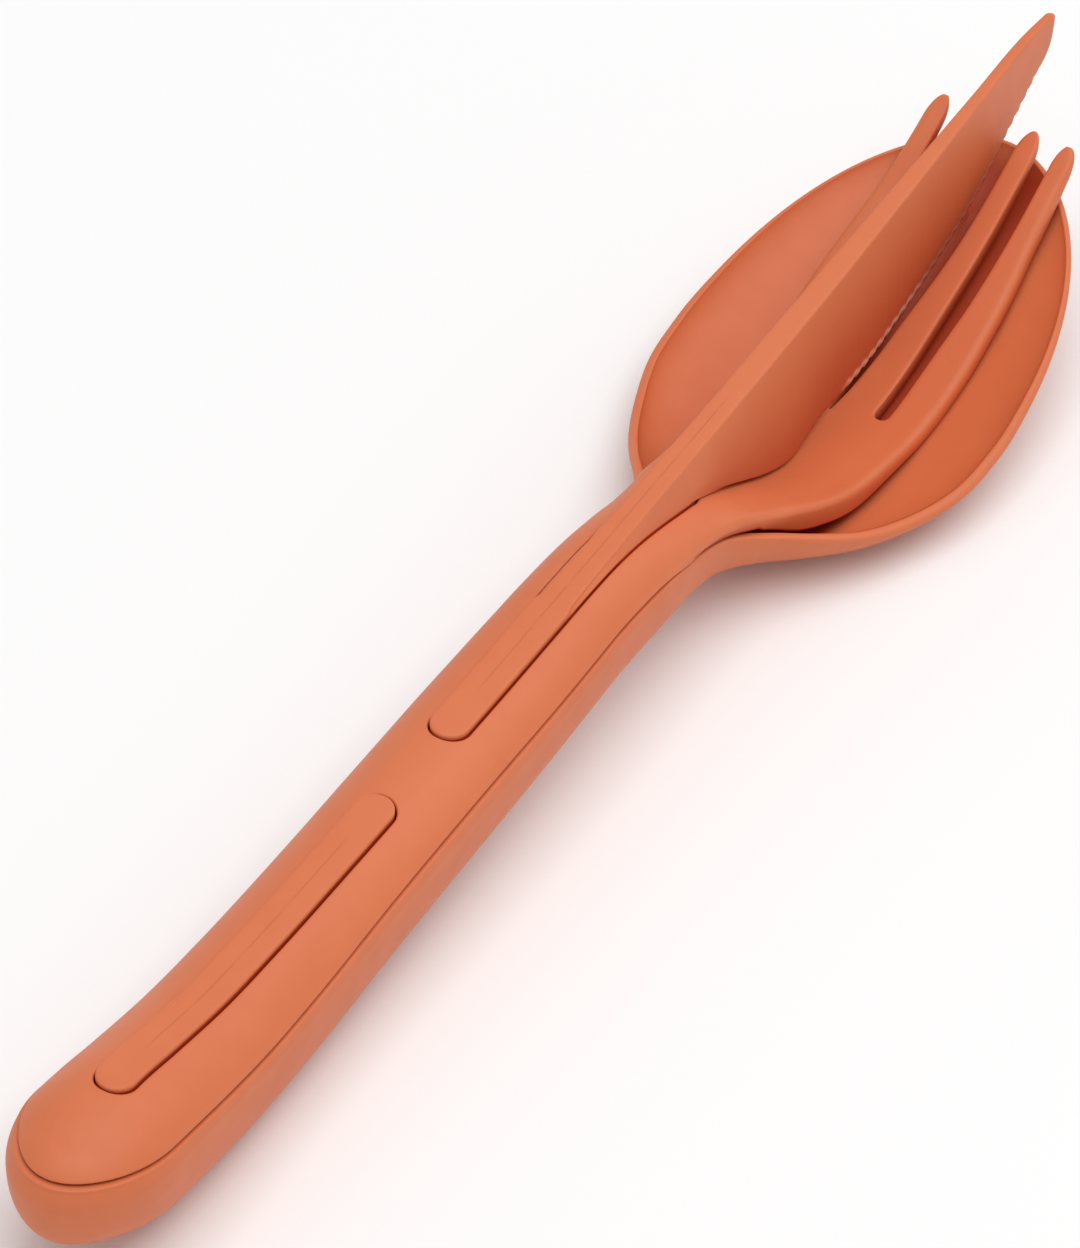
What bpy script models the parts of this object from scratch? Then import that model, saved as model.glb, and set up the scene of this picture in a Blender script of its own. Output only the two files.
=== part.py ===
"""Nesting travel cutlery: a spoon, a fork and a knife laid one on another.

Sizes below are in millimetres and become metres when a mesh is made. Stations
run along the set from the handle end (0) to the tip of the knife. X is across,
Y is along the set, Z is up, and the origin is under the middle of the set.
"""
import bpy
import bmesh
import numpy as np

MM = 0.001
LENGTH = 195.5
BOWL_SHOULDER = 150.9
BOWL_END = 187.4
FORK_END = 186.4
CLEARANCE = 0.3
# cross sections stand no further apart than this along the handle and the bowl
STEP = 7.0
BOWL_STEP = 3.1

# the outer skin of the closed handle and the bowl: station, half width, height of
# the widest line, underside on the middle line, crown on the middle line
SKIN = (
    (0.0, 8.9, 13.7, 8.9, 14.6),
    (5.0, 8.9, 13.85, 6.3, 18.1),
    (8.0, 8.9, 13.85, 4.4, 19.35),
    (15.0, 8.65, 13.3, 1.6, 19.95),
    (22.0, 8.38, 12.5, 0.55, 18.95),
    (31.0, 8.08, 11.8, -0.1, 17.8),
    (40.0, 7.8, 11.9, 0.15, 17.65),
    (55.0, 7.4, 12.77, 1.63, 18.06),
    (70.0, 7.26, 13.61, 3.18, 18.65),
    (85.0, 7.12, 14.34, 4.76, 19.3),
    (93.0, 6.9, 14.7, 5.55, 19.8),
    (100.0, 6.67, 14.94, 6.2, 20.2),
    (104.0, 6.57, 14.8, 6.3, 20.2),
    (108.0, 6.46, 14.5, 6.3, 19.8),
    (112.0, 6.2, 13.95, 6.1, 19.0),
    (116.0, 6.0, 13.1, 5.7, 17.95),
    (119.8, 6.35, 12.15, 5.0, 16.75),
    (121.7, 7.1, 11.6, 4.5, 15.8),
    (125.6, 9.5, 10.15, 3.05, 13.5),
    (129.5, 12.6, 8.55, 1.5, 11.1),
    (133.5, 15.3, 7.1, 0.3, 8.65),
    (139.0, 18.1, 6.4, -0.15, 6.2),
    (145.0, 20.2, 6.7, 0.0, 5.2),
    (152.0, 20.75, 7.7, 0.7, 4.9),
    (158.0, 20.75, 8.9, 1.8, 6.0),
    (165.0, 20.9, 10.4, 3.85, 8.6),
    (175.0, 21.15, 12.65, 7.9, 12.95),
    (183.0, 21.25, 14.4, 11.9, 17.35),
    (BOWL_END, 21.25, 15.3, 13.6, 19.75),
)
# how far the skin is lowered into the ground plane, which leaves two small flats to rest on
DATUM = -0.2
# roundness of the section above its widest line, by station
UPPER_POWER = ((0.0, 1.76), (62.0, 1.76), (80.0, 1.88), (100.0, 2.06), (112.0, 2.2), (BOWL_END, 2.2))
HANDLE_POWER = 2.35
BOWL_POWER = 2.0
END_LENGTH = 13.2
END_SPINE = 5.5
BOWL_TIP_POWER = 1.87
BOWL_TIP_SPINE = 9.0
RIM_RISE = ((0.0, 2.6), (8.0, 1.9), (20.0, 1.45), (85.0, 1.3), (112.0, 1.2),
            (119.8, 0.7), (123.0, 0.25), (130.0, 0.0), (BOWL_END, 0.0))
SPOON_WALL = 1.5
RIM_ROUND = 0.4
RIM_OPENS = (119.0, 130.0)
HANDLE_TO_BOWL = (108.0, 135.0)

# the fork from the neck on: station, half width, height of the edge above the middle
FORK_EDGE = (
    (104.0, 6.3, -4.0),
    (112.0, 6.2, -3.4),
    (116.0, 6.0, -2.85),
    (120.8, 6.4, -2.05),
    (123.0, 6.9, -1.35),
    (127.4, 8.0, -0.85),
    (130.6, 8.75, -0.4),
    (136.4, 9.9, 0.3),
    (141.0, 10.35, 0.5),
    (146.0, 10.65, 0.65),
    (155.0, 10.95, 0.8),
    (165.0, 10.8, 0.7),
    (171.0, 10.35, 0.5),
    (176.0, 9.75, 0.35),
    (182.0, 9.4, 0.2),
    (FORK_END, 9.2, 0.1),
)
FORK_WALL = 2.1
RIM_SHARE = 0.96
SKIN_TO_FORK = (106.0, 114.0)
ARCH_TO_PALM = (108.0, 128.0)
PALM = (122.0, 148.0)
NECK_END = 125.0
SLOT_HALF = 2.4
REAR_SLOT = (12.5, 63.9)
FRONT_SLOT = (73.6, 121.5)
MIDDLE_ROOT = 150.0
ROOT_ROUND = 0.4
MIDDLE_GAP = ((MIDDLE_ROOT, 0.0), (MIDDLE_ROOT + ROOT_ROUND, 0.3),
              (156.0, 0.5), (162.0, 0.95), (167.0, 1.45),
              (172.0, 1.88), (178.0, 2.15), (FORK_END, 2.25))
SIDE_ROOT = 151.2
SIDE_ROOT_ROUND = 0.9
# the gap between the two tines of a side: station, its inner and its outer edge
SIDE_GAP = ((SIDE_ROOT, 4.65, 6.35), (160.0, 4.65, 6.35), (166.0, 4.7, 6.75),
            (174.0, 4.75, 6.9), (180.0, 4.75, 6.9), (FORK_END, 4.7, 6.8))
TINE_TIP = 2.6
TINE_THINS = 8.0
INNER_TINE_AXIS = 3.47
OUTER_TINE_AXIS = 8.0

# the knife
PAD_HALF = SLOT_HALF - CLEARANCE
HEEL_INSIDE = 7.5
HEEL = FRONT_SLOT[1] - HEEL_INSIDE
TONGUE_END = FRONT_SLOT[1] - SLOT_HALF - CLEARANCE
TONGUE_RISE = 0.5
TONGUE_DEPTH = 2.2
BAR_ENDS = (9.0, HEEL)
BAR_DEPTH = 8.0
SHELF_BELOW = 1.25
BLADE_TIP = 4.5
# how far below the fork's crown a pad's side meets its wall
PAD_FOOT = 0.3
PAD_PROUD = ((12.0, 0.2), (63.0, 0.22), (75.0, 0.25), (90.0, 0.3), (95.0, 0.35))
SPINE = ((95.0, 20.25, 2.0), (100.0, 20.6, 1.8), (105.0, 20.95, 1.7),
         (110.0, 21.35, 1.65), (120.0, 22.0, 1.55),
         (130.0, 22.75, 1.45), (140.0, 23.6, 1.4), (150.0, 24.5, 1.3), (160.0, 25.45, 1.12),
         (170.0, 26.5, 0.92), (180.0, 27.6, 0.72), (190.0, 28.6, 0.58), (LENGTH, 28.4, 0.4))
EDGE = ((TONGUE_END, 17.65, 2.15), (120.5, 16.8, 2.25), (125.6, 13.95, 2.3), (129.5, 11.55, 2.25),
        (133.5, 9.1, 2.1), (139.0, 6.65, 1.75), (145.0, 5.6, 0.9), (152.0, 5.35, 0.3),
        (158.0, 6.2, 0.2), (163.0, 7.6, 0.2), (170.0, 9.6, 0.2), (179.3, 13.2, 0.2),
        (185.5, 17.2, 0.2), (191.0, 21.1, 0.2), (194.4, 23.7, 0.2), (LENGTH, 25.6, 0.2))

COLOUR = (0.69, 0.22, 0.105, 1.0)
ROUGHNESS = 0.48


def smooth(table, column, s):
    """Cubic curve through one column of a table, with slopes from its neighbours."""
    rows = np.array(table, float)
    x, y = rows[:, 0], rows[:, column]
    s = np.clip(np.asarray(s, float), x[0], x[-1])
    step = np.diff(x)
    slope = np.diff(y) / step
    tangent = np.zeros_like(y)
    tangent[1:-1] = (slope[:-1] * step[1:] + slope[1:] * step[:-1]) / (step[:-1] + step[1:])
    tangent[0], tangent[-1] = slope[0], slope[-1]
    i = np.clip(np.searchsorted(x, s, side="right") - 1, 0, len(x) - 2)
    t = (s - x[i]) / step[i]
    return ((1 + 2 * t) * (1 - t) ** 2 * y[i] + t * (1 - t) ** 2 * step[i] * tangent[i]
            + t * t * (3 - 2 * t) * y[i + 1] + t * t * (t - 1) * step[i] * tangent[i + 1])


def between(start, stop, step):
    """Even stations between two others, without the two themselves."""
    count = int(np.ceil((stop - start) / step - 1e-9))
    return np.linspace(start, stop, count + 1)[1:-1]


def round_steps(start, stop, count):
    """Stations that close up at start, as the points of a quarter circle do."""
    return start + (stop - start) * (1 - np.cos(np.linspace(0, np.pi / 2, count + 1)))


def ease(a, b, s):
    """Smooth step from 0 at station a to 1 at station b."""
    t = np.clip((np.asarray(s, float) - a) / (b - a), 0, 1)
    return t * t * (3 - 2 * t)


def outline(s):
    """Half width of the spoon seen from above, with its round handle end and bowl tip."""
    end = np.clip((END_LENGTH - s) / END_LENGTH, 0, 1)
    tip = np.clip((s - BOWL_SHOULDER) / (BOWL_END - BOWL_SHOULDER), 0, 1)
    round_end = np.sqrt(1 - end ** 2)
    round_tip = (1 - tip ** BOWL_TIP_POWER) ** (1 / BOWL_TIP_POWER)
    return smooth(SKIN, 1, s) * round_end * round_tip


def spine_of(s):
    """Where on the middle line the cross line from outline station s ends."""
    m = np.array(s, float)
    near = m < 2 * END_SPINE
    m[near] = END_SPINE + m[near] ** 2 / (4 * END_SPINE)
    back = BOWL_END - np.asarray(s, float)
    far = back < 2 * BOWL_TIP_SPINE
    m[far] = BOWL_END - BOWL_TIP_SPINE - back[far] ** 2 / (4 * BOWL_TIP_SPINE)
    return m


def skin_line(s, angle):
    """Points (x, station, z) of the skin; angle -90 is the underside, 90 the crown."""
    s, angle = np.broadcast_arrays(np.asarray(s, float), angle)
    m = spine_of(s)
    wide = smooth(SKIN, 2, s)
    lower = angle < 0
    lower_power = HANDLE_POWER + (BOWL_POWER - HANDLE_POWER) * ease(*HANDLE_TO_BOWL, s)
    power = np.where(lower, lower_power, smooth(UPPER_POWER, 1, s))
    height = np.where(lower, wide - smooth(SKIN, 3, m), smooth(SKIN, 4, m) - wide)
    out = np.abs(np.cos(angle)) ** (2 / power)
    up = np.sign(angle) * np.abs(np.sin(angle)) ** (2 / power)
    return np.stack([outline(s) * out, m + (s - m) * out, wide + height * up], -1)


def rim_angle(s, extra=0.0):
    """Angle on the skin of the spoon's rim, or of a line the extra height above it."""
    rise = smooth(RIM_RISE, 1, s) + extra
    height = smooth(SKIN, 4, spine_of(np.asarray(s, float))) - smooth(SKIN, 2, s)
    return np.arcsin(np.clip(rise / np.maximum(height, 3.0), 0, 0.98) ** (smooth(UPPER_POWER, 1, s) / 2))


def to_set(points):
    """Millimetres by station to metres in the frame of the set."""
    out = np.array(points, float)
    out[..., 1] -= LENGTH / 2
    out[..., 2] += DATUM
    return out * MM


def add_cells(bm, verts, keep, flip):
    """Quads between neighbouring points of a grid, for the cells keep holds."""
    for i, j in zip(*np.nonzero(keep)):
        ring = (verts[i][j], verts[i][j + 1], verts[i + 1][j + 1], verts[i + 1][j])
        bm.faces.new(ring[::-1] if flip else ring)


def grid_verts(bm, grid):
    """Vertices of a grid of points, row by row."""
    return [[bm.verts.new(p) for p in row] for row in to_set(grid)]


def finish(name, bm, collection, material):
    """Weld the grids, put the half into an object and mirror it across the middle."""
    bmesh.ops.remove_doubles(bm, verts=bm.verts, dist=2e-6)
    bmesh.ops.dissolve_degenerate(bm, dist=1e-6, edges=bm.edges)
    bmesh.ops.delete(bm, geom=[v for v in bm.verts if not v.link_faces], context='VERTS')
    bmesh.ops.recalc_face_normals(bm, faces=bm.faces)
    mesh = bpy.data.meshes.new(name)
    bm.to_mesh(mesh)
    bm.free()
    mesh.shade_smooth()
    mesh.set_sharp_from_angle(angle=np.radians(35))
    mesh.materials.append(material)
    part = bpy.data.objects.new(name, mesh)
    collection.objects.link(part)
    both_sides = part.modifiers.new("both_sides", 'MIRROR')
    both_sides.use_axis = (True, False, False)
    both_sides.use_clip = True
    both_sides.merge_threshold = 0.00001
    return part


def open_edges(keep):
    """Pairs of neighbouring grid points (row, column) along every border of the kept cells."""
    framed = np.pad(keep, 1)
    across = np.argwhere(framed[:-1, 1:-1] != framed[1:, 1:-1])
    along = np.argwhere(framed[1:-1, :-1] != framed[1:-1, 1:])
    return [(p, p + (0, 1)) for p in across] + [(p, p + (1, 0)) for p in along]


def make_shell(name, outer, inner, keep, collection, material):
    """Half of a walled piece: two grids, joined by walls round every open border."""
    bm = bmesh.new()
    top, bottom = grid_verts(bm, outer), grid_verts(bm, inner)
    add_cells(bm, top, keep, False)
    add_cells(bm, bottom, keep, True)
    for (i, j), (k, m) in open_edges(keep):
        corners = (top[i][j], top[k][m], bottom[k][m], bottom[i][j])
        # the border on the middle plane stays open for the mirror
        if max(abs(v.co.x) for v in corners) > 1e-7:
            bm.faces.new(corners)
    return finish(name, bm, collection, material)


def build_spoon(collection, material):
    """Open trough and bowl: a skin from the middle of the underside up to the rim."""
    middle = np.concatenate([between(END_LENGTH, HANDLE_TO_BOWL[0], STEP), [HANDLE_TO_BOWL[0]],
                             between(HANDLE_TO_BOWL[0], BOWL_SHOULDER, BOWL_STEP)])
    s = np.concatenate([round_steps(0.0, END_LENGTH, 6), middle,
                        round_steps(BOWL_END, BOWL_SHOULDER, 12)[::-1]])
    across = np.linspace(0, 1, 11)
    angle = -np.pi / 2 + (np.pi / 2 + rim_angle(s)[:, None]) * across[None]
    outer = skin_line(s[:, None], angle)
    m = spine_of(s)[:, None]
    wide = smooth(SKIN, 2, s)[:, None]
    depth = wide - smooth(SKIN, 3, m)
    reach = np.hypot(outline(s), s - m[:, 0])[:, None]
    inner = outer.copy()
    inner[..., 0] = outer[..., 0] * (1 - SPOON_WALL / reach)
    inner[..., 1] = m + (outer[..., 1] - m) * (1 - SPOON_WALL / reach)
    below = outer[..., 2] < wide
    inner[..., 2] = np.where(below, wide - (wide - outer[..., 2]) * (1 - SPOON_WALL / depth), outer[..., 2])
    # a rounded crest joins the two faces of the wall, sharp where the fork lies flush on it
    crest = (outer[:, -1:] + inner[:, -1:]) / 2
    drop = RIM_ROUND * ease(*RIM_OPENS, s)
    outer[:, -1, 2] -= drop
    inner[:, -1, 2] -= drop
    outer[..., 2] = np.maximum(outer[..., 2], -DATUM)
    outer[:, 0, 0] = 0.0
    inner[:, 0, 0] = 0.0
    section = np.concatenate([outer, crest, inner[:, ::-1]], 1)
    keep = np.ones((section.shape[0] - 1, section.shape[1] - 1), bool)
    bm = bmesh.new()
    add_cells(bm, grid_verts(bm, section), keep, False)
    return finish("spoon", bm, collection, material)


def slot_half(s):
    """Half width of the slot column: round ends inside the slots, straight elsewhere."""
    half = np.full(len(s), SLOT_HALF)
    for start, stop in (REAR_SLOT, FRONT_SLOT):
        depth = np.minimum(s - start, stop - s)
        inside = (depth >= -1e-9) & (depth < SLOT_HALF)
        gap = SLOT_HALF - np.clip(depth[inside], 0, SLOT_HALF)
        half[inside] = np.sqrt(SLOT_HALF ** 2 - gap ** 2)
    return half


def fork_stations():
    rear, front = REAR_SLOT, FRONT_SLOT
    parts = [
        round_steps(0.0, END_LENGTH, 6)[:-2],
        round_steps(rear[0], rear[0] + SLOT_HALF, 4),
        between(rear[0] + SLOT_HALF, rear[1] - SLOT_HALF, STEP),
        round_steps(rear[1], rear[1] - SLOT_HALF, 4),
        between(rear[1], front[0], STEP),
        round_steps(front[0], front[0] + SLOT_HALF, 4),
        between(front[0] + SLOT_HALF, SKIN_TO_FORK[0], STEP), [SKIN_TO_FORK[0]],
        between(SKIN_TO_FORK[0], front[1] - SLOT_HALF, BOWL_STEP),
        round_steps(front[1], front[1] - SLOT_HALF, 4),
        between(front[1], MIDDLE_ROOT, BOWL_STEP),
        [MIDDLE_ROOT, MIDDLE_ROOT + ROOT_ROUND],
        [SIDE_ROOT, SIDE_ROOT + SIDE_ROOT_ROUND / 3, SIDE_ROOT + SIDE_ROOT_ROUND],
        between(SIDE_ROOT + SIDE_ROOT_ROUND, FORK_END - TINE_TIP, 4.0),
        round_steps(FORK_END, FORK_END - TINE_TIP, 3),
    ]
    return np.unique(np.round(np.concatenate(parts), 4))


def fork_columns(s, edge):
    """Distance of every column of the fork's grid from the middle, for all stations."""
    slot = slot_half(s)
    gap = np.where(s < MIDDLE_ROOT, 0.0, smooth(MIDDLE_GAP, 1, s))
    split = np.sqrt(np.clip(np.abs(s - SIDE_ROOT) / SIDE_ROOT_ROUND, 0, 1))
    centre = (smooth(SIDE_GAP, 1, s) + smooth(SIDE_GAP, 2, s)) / 2
    palm = ease(*PALM, s)
    handle = np.stack([0 * s, slot] + [slot + (edge - slot) * k for k in (0.3, 0.5, 0.7, 0.85, 1.0)], 1)
    inner = centre + (smooth(SIDE_GAP, 1, s) - centre) * split
    outer = centre + (smooth(SIDE_GAP, 2, s) - centre) * split
    front = np.stack([gap, (gap + inner) / 2, inner, outer,
                      outer + (edge - outer) * 0.4, outer + (edge - outer) * 0.75, edge], 1)
    return handle * (1 - palm[:, None]) + front * palm[:, None]


def close_tips(grid, s):
    """Draw the columns of each tine together at its tip, as seen from above."""
    near = s > FORK_END - TINE_TIP
    left = (FORK_END - s[near]) / TINE_TIP
    pull = np.maximum(np.sqrt(1 - (1 - left) ** 2), 0.25)
    for columns, axis in (((0, 1, 2), INNER_TINE_AXIS), ((3, 4, 5, 6), OUTER_TINE_AXIS)):
        for j in columns:
            grid[near, j, 0] = axis + (grid[near, j, 0] - axis) * pull
    return grid


def arch(share, power):
    return (1 - np.clip(share, 0, 1) ** power) ** (1 / power)


def fork_cover(s, edge):
    """Outer and inner grid of the handle cover, which lies on the skin above the rim."""
    limit = rim_angle(s, CLEARANCE)
    foot = skin_line(s, limit)
    m = spine_of(s)[:, None]
    reach = np.hypot(foot[:, :1], foot[:, 1:2] - m)
    power = smooth(UPPER_POWER, 1, s)
    widest = (np.cos(limit) ** (2 / power))[:, None]
    columns = fork_columns(s, edge)
    fan = np.linspace(0, 1, columns.shape[1])[None]
    at_end = (s < 2 * END_SPINE)[:, None]
    share = np.where(at_end, fan, columns / edge[:, None])
    angle = np.arccos(np.clip(share * widest, 0, 1) ** (power / 2)[:, None])
    outer = skin_line(s[:, None], angle)
    room = reach - FORK_WALL
    x = fork_columns(s, edge - FORK_WALL) * room / (edge - FORK_WALL)[:, None]
    hollow = np.where(at_end, fan, x / room)
    ray = (foot[:, :2] - np.stack([0 * s, m[:, 0]], 1)) / reach
    inner = outer.copy()
    inner[..., 0] = ray[:, :1] * room * hollow
    inner[..., 1] = m + ray[:, 1:] * room * hollow
    crown = smooth(SKIN, 4, m) - FORK_WALL
    inner[..., 2] = foot[:, 2:] + (crown - foot[:, 2:]) * arch(hollow, 2.0)
    return outer, inner


def fork_plate(s, edge):
    """Outer and inner grid of the neck, palm and tines."""
    columns = fork_columns(s, edge)
    share = columns / edge[:, None]
    bend = ease(*ARCH_TO_PALM, s)[:, None]
    drop = 1 - arch(RIM_SHARE * share, smooth(UPPER_POWER, 1, s)[:, None])
    form = drop / drop[:, -1:] * (1 - bend) + share ** 2 * bend
    top = smooth(SKIN, 4, s)
    z = top[:, None] + smooth(FORK_EDGE, 2, s)[:, None] * form
    outer = np.stack([columns, np.broadcast_to(s[:, None], columns.shape), z], -1)
    slope = (smooth(SKIN, 4, s + 0.5) - smooth(SKIN, 4, s - 0.5))
    taper = 1 - 0.45 * ease(FORK_END - TINE_THINS, FORK_END, s)
    inner = outer.copy()
    inner[..., 2] -= (FORK_WALL * taper * np.sqrt(1 + slope ** 2))[:, None]
    # over the neck nothing reaches down past the spoon's rim
    rim = smooth(SKIN, 2, s) + smooth(RIM_RISE, 1, s) + CLEARANCE * 1.2
    neck = s < NECK_END
    inner[neck, :, 2] = np.maximum(inner[neck, :, 2], rim[neck, None])
    return outer, inner


def build_fork(collection, material):
    """Arched handle cover with two slots, a neck that dips, a palm and four tines."""
    s = fork_stations()
    edge = smooth(FORK_EDGE, 1, s)
    mix = ease(*SKIN_TO_FORK, s)[:, None, None]
    cover = fork_cover(s, edge)
    plate = fork_plate(s, edge)
    outer, inner = (close_tips(c * (1 - mix) + p * mix, s) for c, p in zip(cover, plate))
    for grid in (outer, inner):
        grid[s <= MIDDLE_ROOT, 0, 0] = 0.0
    keep = np.ones((len(s) - 1, outer.shape[1] - 1), bool)
    centre = (s[:-1] + s[1:]) / 2
    for start, stop in (REAR_SLOT, FRONT_SLOT):
        keep[(centre > start) & (centre < stop), 0] = False
    keep[centre > SIDE_ROOT, 2] = False
    return make_shell("fork", outer, inner, keep, collection, material)


def build_knife(collection, material):
    """Bar under the fork's handle, two pads through its slots, and the blade."""
    rear = (REAR_SLOT[0] + CLEARANCE, REAR_SLOT[1] - CLEARANCE)
    front = FRONT_SLOT[0] + CLEARANCE
    stations = [(v, 0) for v in (BAR_ENDS[0], rear[0])]
    stations += [(v, 1) for v in round_steps(rear[0], rear[0] + PAD_HALF, 4)]
    stations += [(v, 1) for v in between(rear[0] + PAD_HALF, rear[1] - PAD_HALF, STEP)]
    stations += [(v, 1) for v in round_steps(rear[1], rear[1] - PAD_HALF, 4)[::-1]]
    stations += [(v, 0) for v in (rear[1], front)]
    stations += [(v, 1) for v in round_steps(front, front + PAD_HALF, 4)]
    stations += [(v, 1) for v in between(front + PAD_HALF, BAR_ENDS[1], STEP)]
    stations += [(BAR_ENDS[1], 1), (BAR_ENDS[1], 2), (TONGUE_END, 2)]
    blade = np.concatenate([[TONGUE_END + TONGUE_RISE],
                            between(TONGUE_END + TONGUE_RISE, LENGTH - BLADE_TIP, 4.0),
                            LENGTH - BLADE_TIP * np.array([1.0, 0.5, 0.2, 0.0])])
    stations += [(v, 3) for v in blade]
    grid = np.array([knife_section(float(s), kind, rear, front) for s, kind in stations])
    keep = np.ones((grid.shape[0] - 1, grid.shape[1] - 1), bool)
    last = grid.shape[0] - 1
    ends = [[(0, j) for j in (0, 4, 5, 6)], [(last, j) for j in range(7)]]
    bm = bmesh.new()
    verts = grid_verts(bm, grid)
    add_cells(bm, verts, keep, False)
    for ring in ends:
        bm.faces.new([verts[i][j] for i, j in ring])
    return finish("knife", bm, collection, material)


def pad_width(s, rear, front):
    """Half width of a pad at a station, round at its ends."""
    depth = s - front
    if s < (rear[1] + front) / 2:
        depth = min(s - rear[0], rear[1] - s)
    gap = PAD_HALF - min(max(depth, 0.0), PAD_HALF)
    return float(np.sqrt(PAD_HALF ** 2 - gap ** 2))


def knife_section(s, kind, rear, front):
    """Seven points of a half section, from the middle of the top round to the middle below.

    The kinds are 0 for the bar alone, 1 for a pad on the bar, 2 for a pad that the bar no
    longer carries and 3 for the blade.
    """
    crown = float(smooth(SKIN, 4, s))
    shelf = crown - FORK_WALL - SHELF_BELOW
    low = crown - FORK_WALL - BAR_DEPTH
    bar = [(PAD_HALF, s, shelf), (PAD_HALF, s, low), (0, s, low)]
    if kind == 0:
        return [(0, s, shelf)] * 4 + bar
    wide = pad_width(s, rear, front)
    top = crown + float(smooth(PAD_PROUD, 1, s))
    thick = wide
    if s > SPINE[0][0]:
        top, thick = (float(smooth(SPINE, k, s)) for k in (1, 2))
    corner = top - 0.15 * wide / PAD_HALF
    pad = [(0, s, top), (thick, s, corner), (wide, s, crown - PAD_FOOT)]
    if kind == 1:
        return pad + [(wide, s, shelf)] + bar
    if kind == 2:
        below = crown - TONGUE_DEPTH
        return pad + [(wide, s, below)] * 3 + [(0, s, below)]
    edge, thin = (float(smooth(EDGE, k, s)) for k in (1, 2))
    face = [(thick + (thin - thick) * k, s, corner + (edge - corner) * k) for k in (0.25, 0.5, 0.75)]
    return [(0, s, top), (thick, s, corner)] + face + [(thin, s, edge), (0, s, edge)]


def plastic(name):
    """Matt orange plastic."""
    material = bpy.data.materials.new(name)
    material.use_nodes = True
    shader = material.node_tree.nodes["Principled BSDF"]
    shader.inputs["Base Color"].default_value = COLOUR
    shader.inputs["Roughness"].default_value = ROUGHNESS
    material.diffuse_color = COLOUR
    return material


def main():
    for item in list(bpy.data.objects):
        bpy.data.objects.remove(item, do_unlink=True)
    collection = bpy.data.collections.new("nesting_cutlery_set")
    bpy.context.scene.collection.children.link(collection)
    build_spoon(collection, plastic("spoon_plastic"))
    build_fork(collection, plastic("fork_plastic"))
    build_knife(collection, plastic("knife_plastic"))


if __name__ == "__main__":
    main()
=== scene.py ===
"""A nesting cutlery set in matt moulded plastic: spoon, fork and knife laid one on another.

Every surface is worked out in millimetres on a grid. Its first parameter is the station, the
distance along the set from the handle end (0) to the tip of the knife; its second runs round the
cross section. X is across, Y along and Z up, and a piece becomes metres when its mesh is made.
"""

import bmesh
import bpy
import numpy as np
from mathutils import Matrix, Vector


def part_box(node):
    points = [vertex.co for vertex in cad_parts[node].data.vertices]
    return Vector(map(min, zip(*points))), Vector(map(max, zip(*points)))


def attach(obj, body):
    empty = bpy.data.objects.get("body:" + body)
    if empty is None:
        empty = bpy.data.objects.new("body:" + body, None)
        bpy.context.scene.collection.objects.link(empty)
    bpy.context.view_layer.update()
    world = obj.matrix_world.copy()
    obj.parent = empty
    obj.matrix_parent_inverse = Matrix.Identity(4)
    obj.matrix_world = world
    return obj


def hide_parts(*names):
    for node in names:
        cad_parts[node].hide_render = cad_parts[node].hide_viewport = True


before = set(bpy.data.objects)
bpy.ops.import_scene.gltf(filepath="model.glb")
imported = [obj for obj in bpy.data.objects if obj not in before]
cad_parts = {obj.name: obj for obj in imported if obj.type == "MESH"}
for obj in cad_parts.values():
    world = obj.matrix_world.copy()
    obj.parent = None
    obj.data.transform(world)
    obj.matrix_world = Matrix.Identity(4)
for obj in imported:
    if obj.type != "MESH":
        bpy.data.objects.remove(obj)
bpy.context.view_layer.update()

bl_info = {
    "name": "Nesting Cutlery",
    "version": (1, 0, 0),
    "blender": (4, 5, 0),
    "location": "3D View > Sidebar > Cutlery",
    "description": "Builds a nested spoon, fork and knife in matt plastic, with a studio round them",
    "category": "Add Mesh",
}

MM = 0.001
# the least divisor; also a micrometre, for merging the points of a mesh
TINY = 1e-6
LENGTH = 195.5
BOWL_SHOULDER = 150.9
BOWL_END = 187.4
FORK_END = 186.4
# gap between two pieces that lie on one another
CLEARANCE = 0.3
# the spoon stands this much lower than its curves say, which leaves its two small flats
DATUM = -0.2

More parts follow.
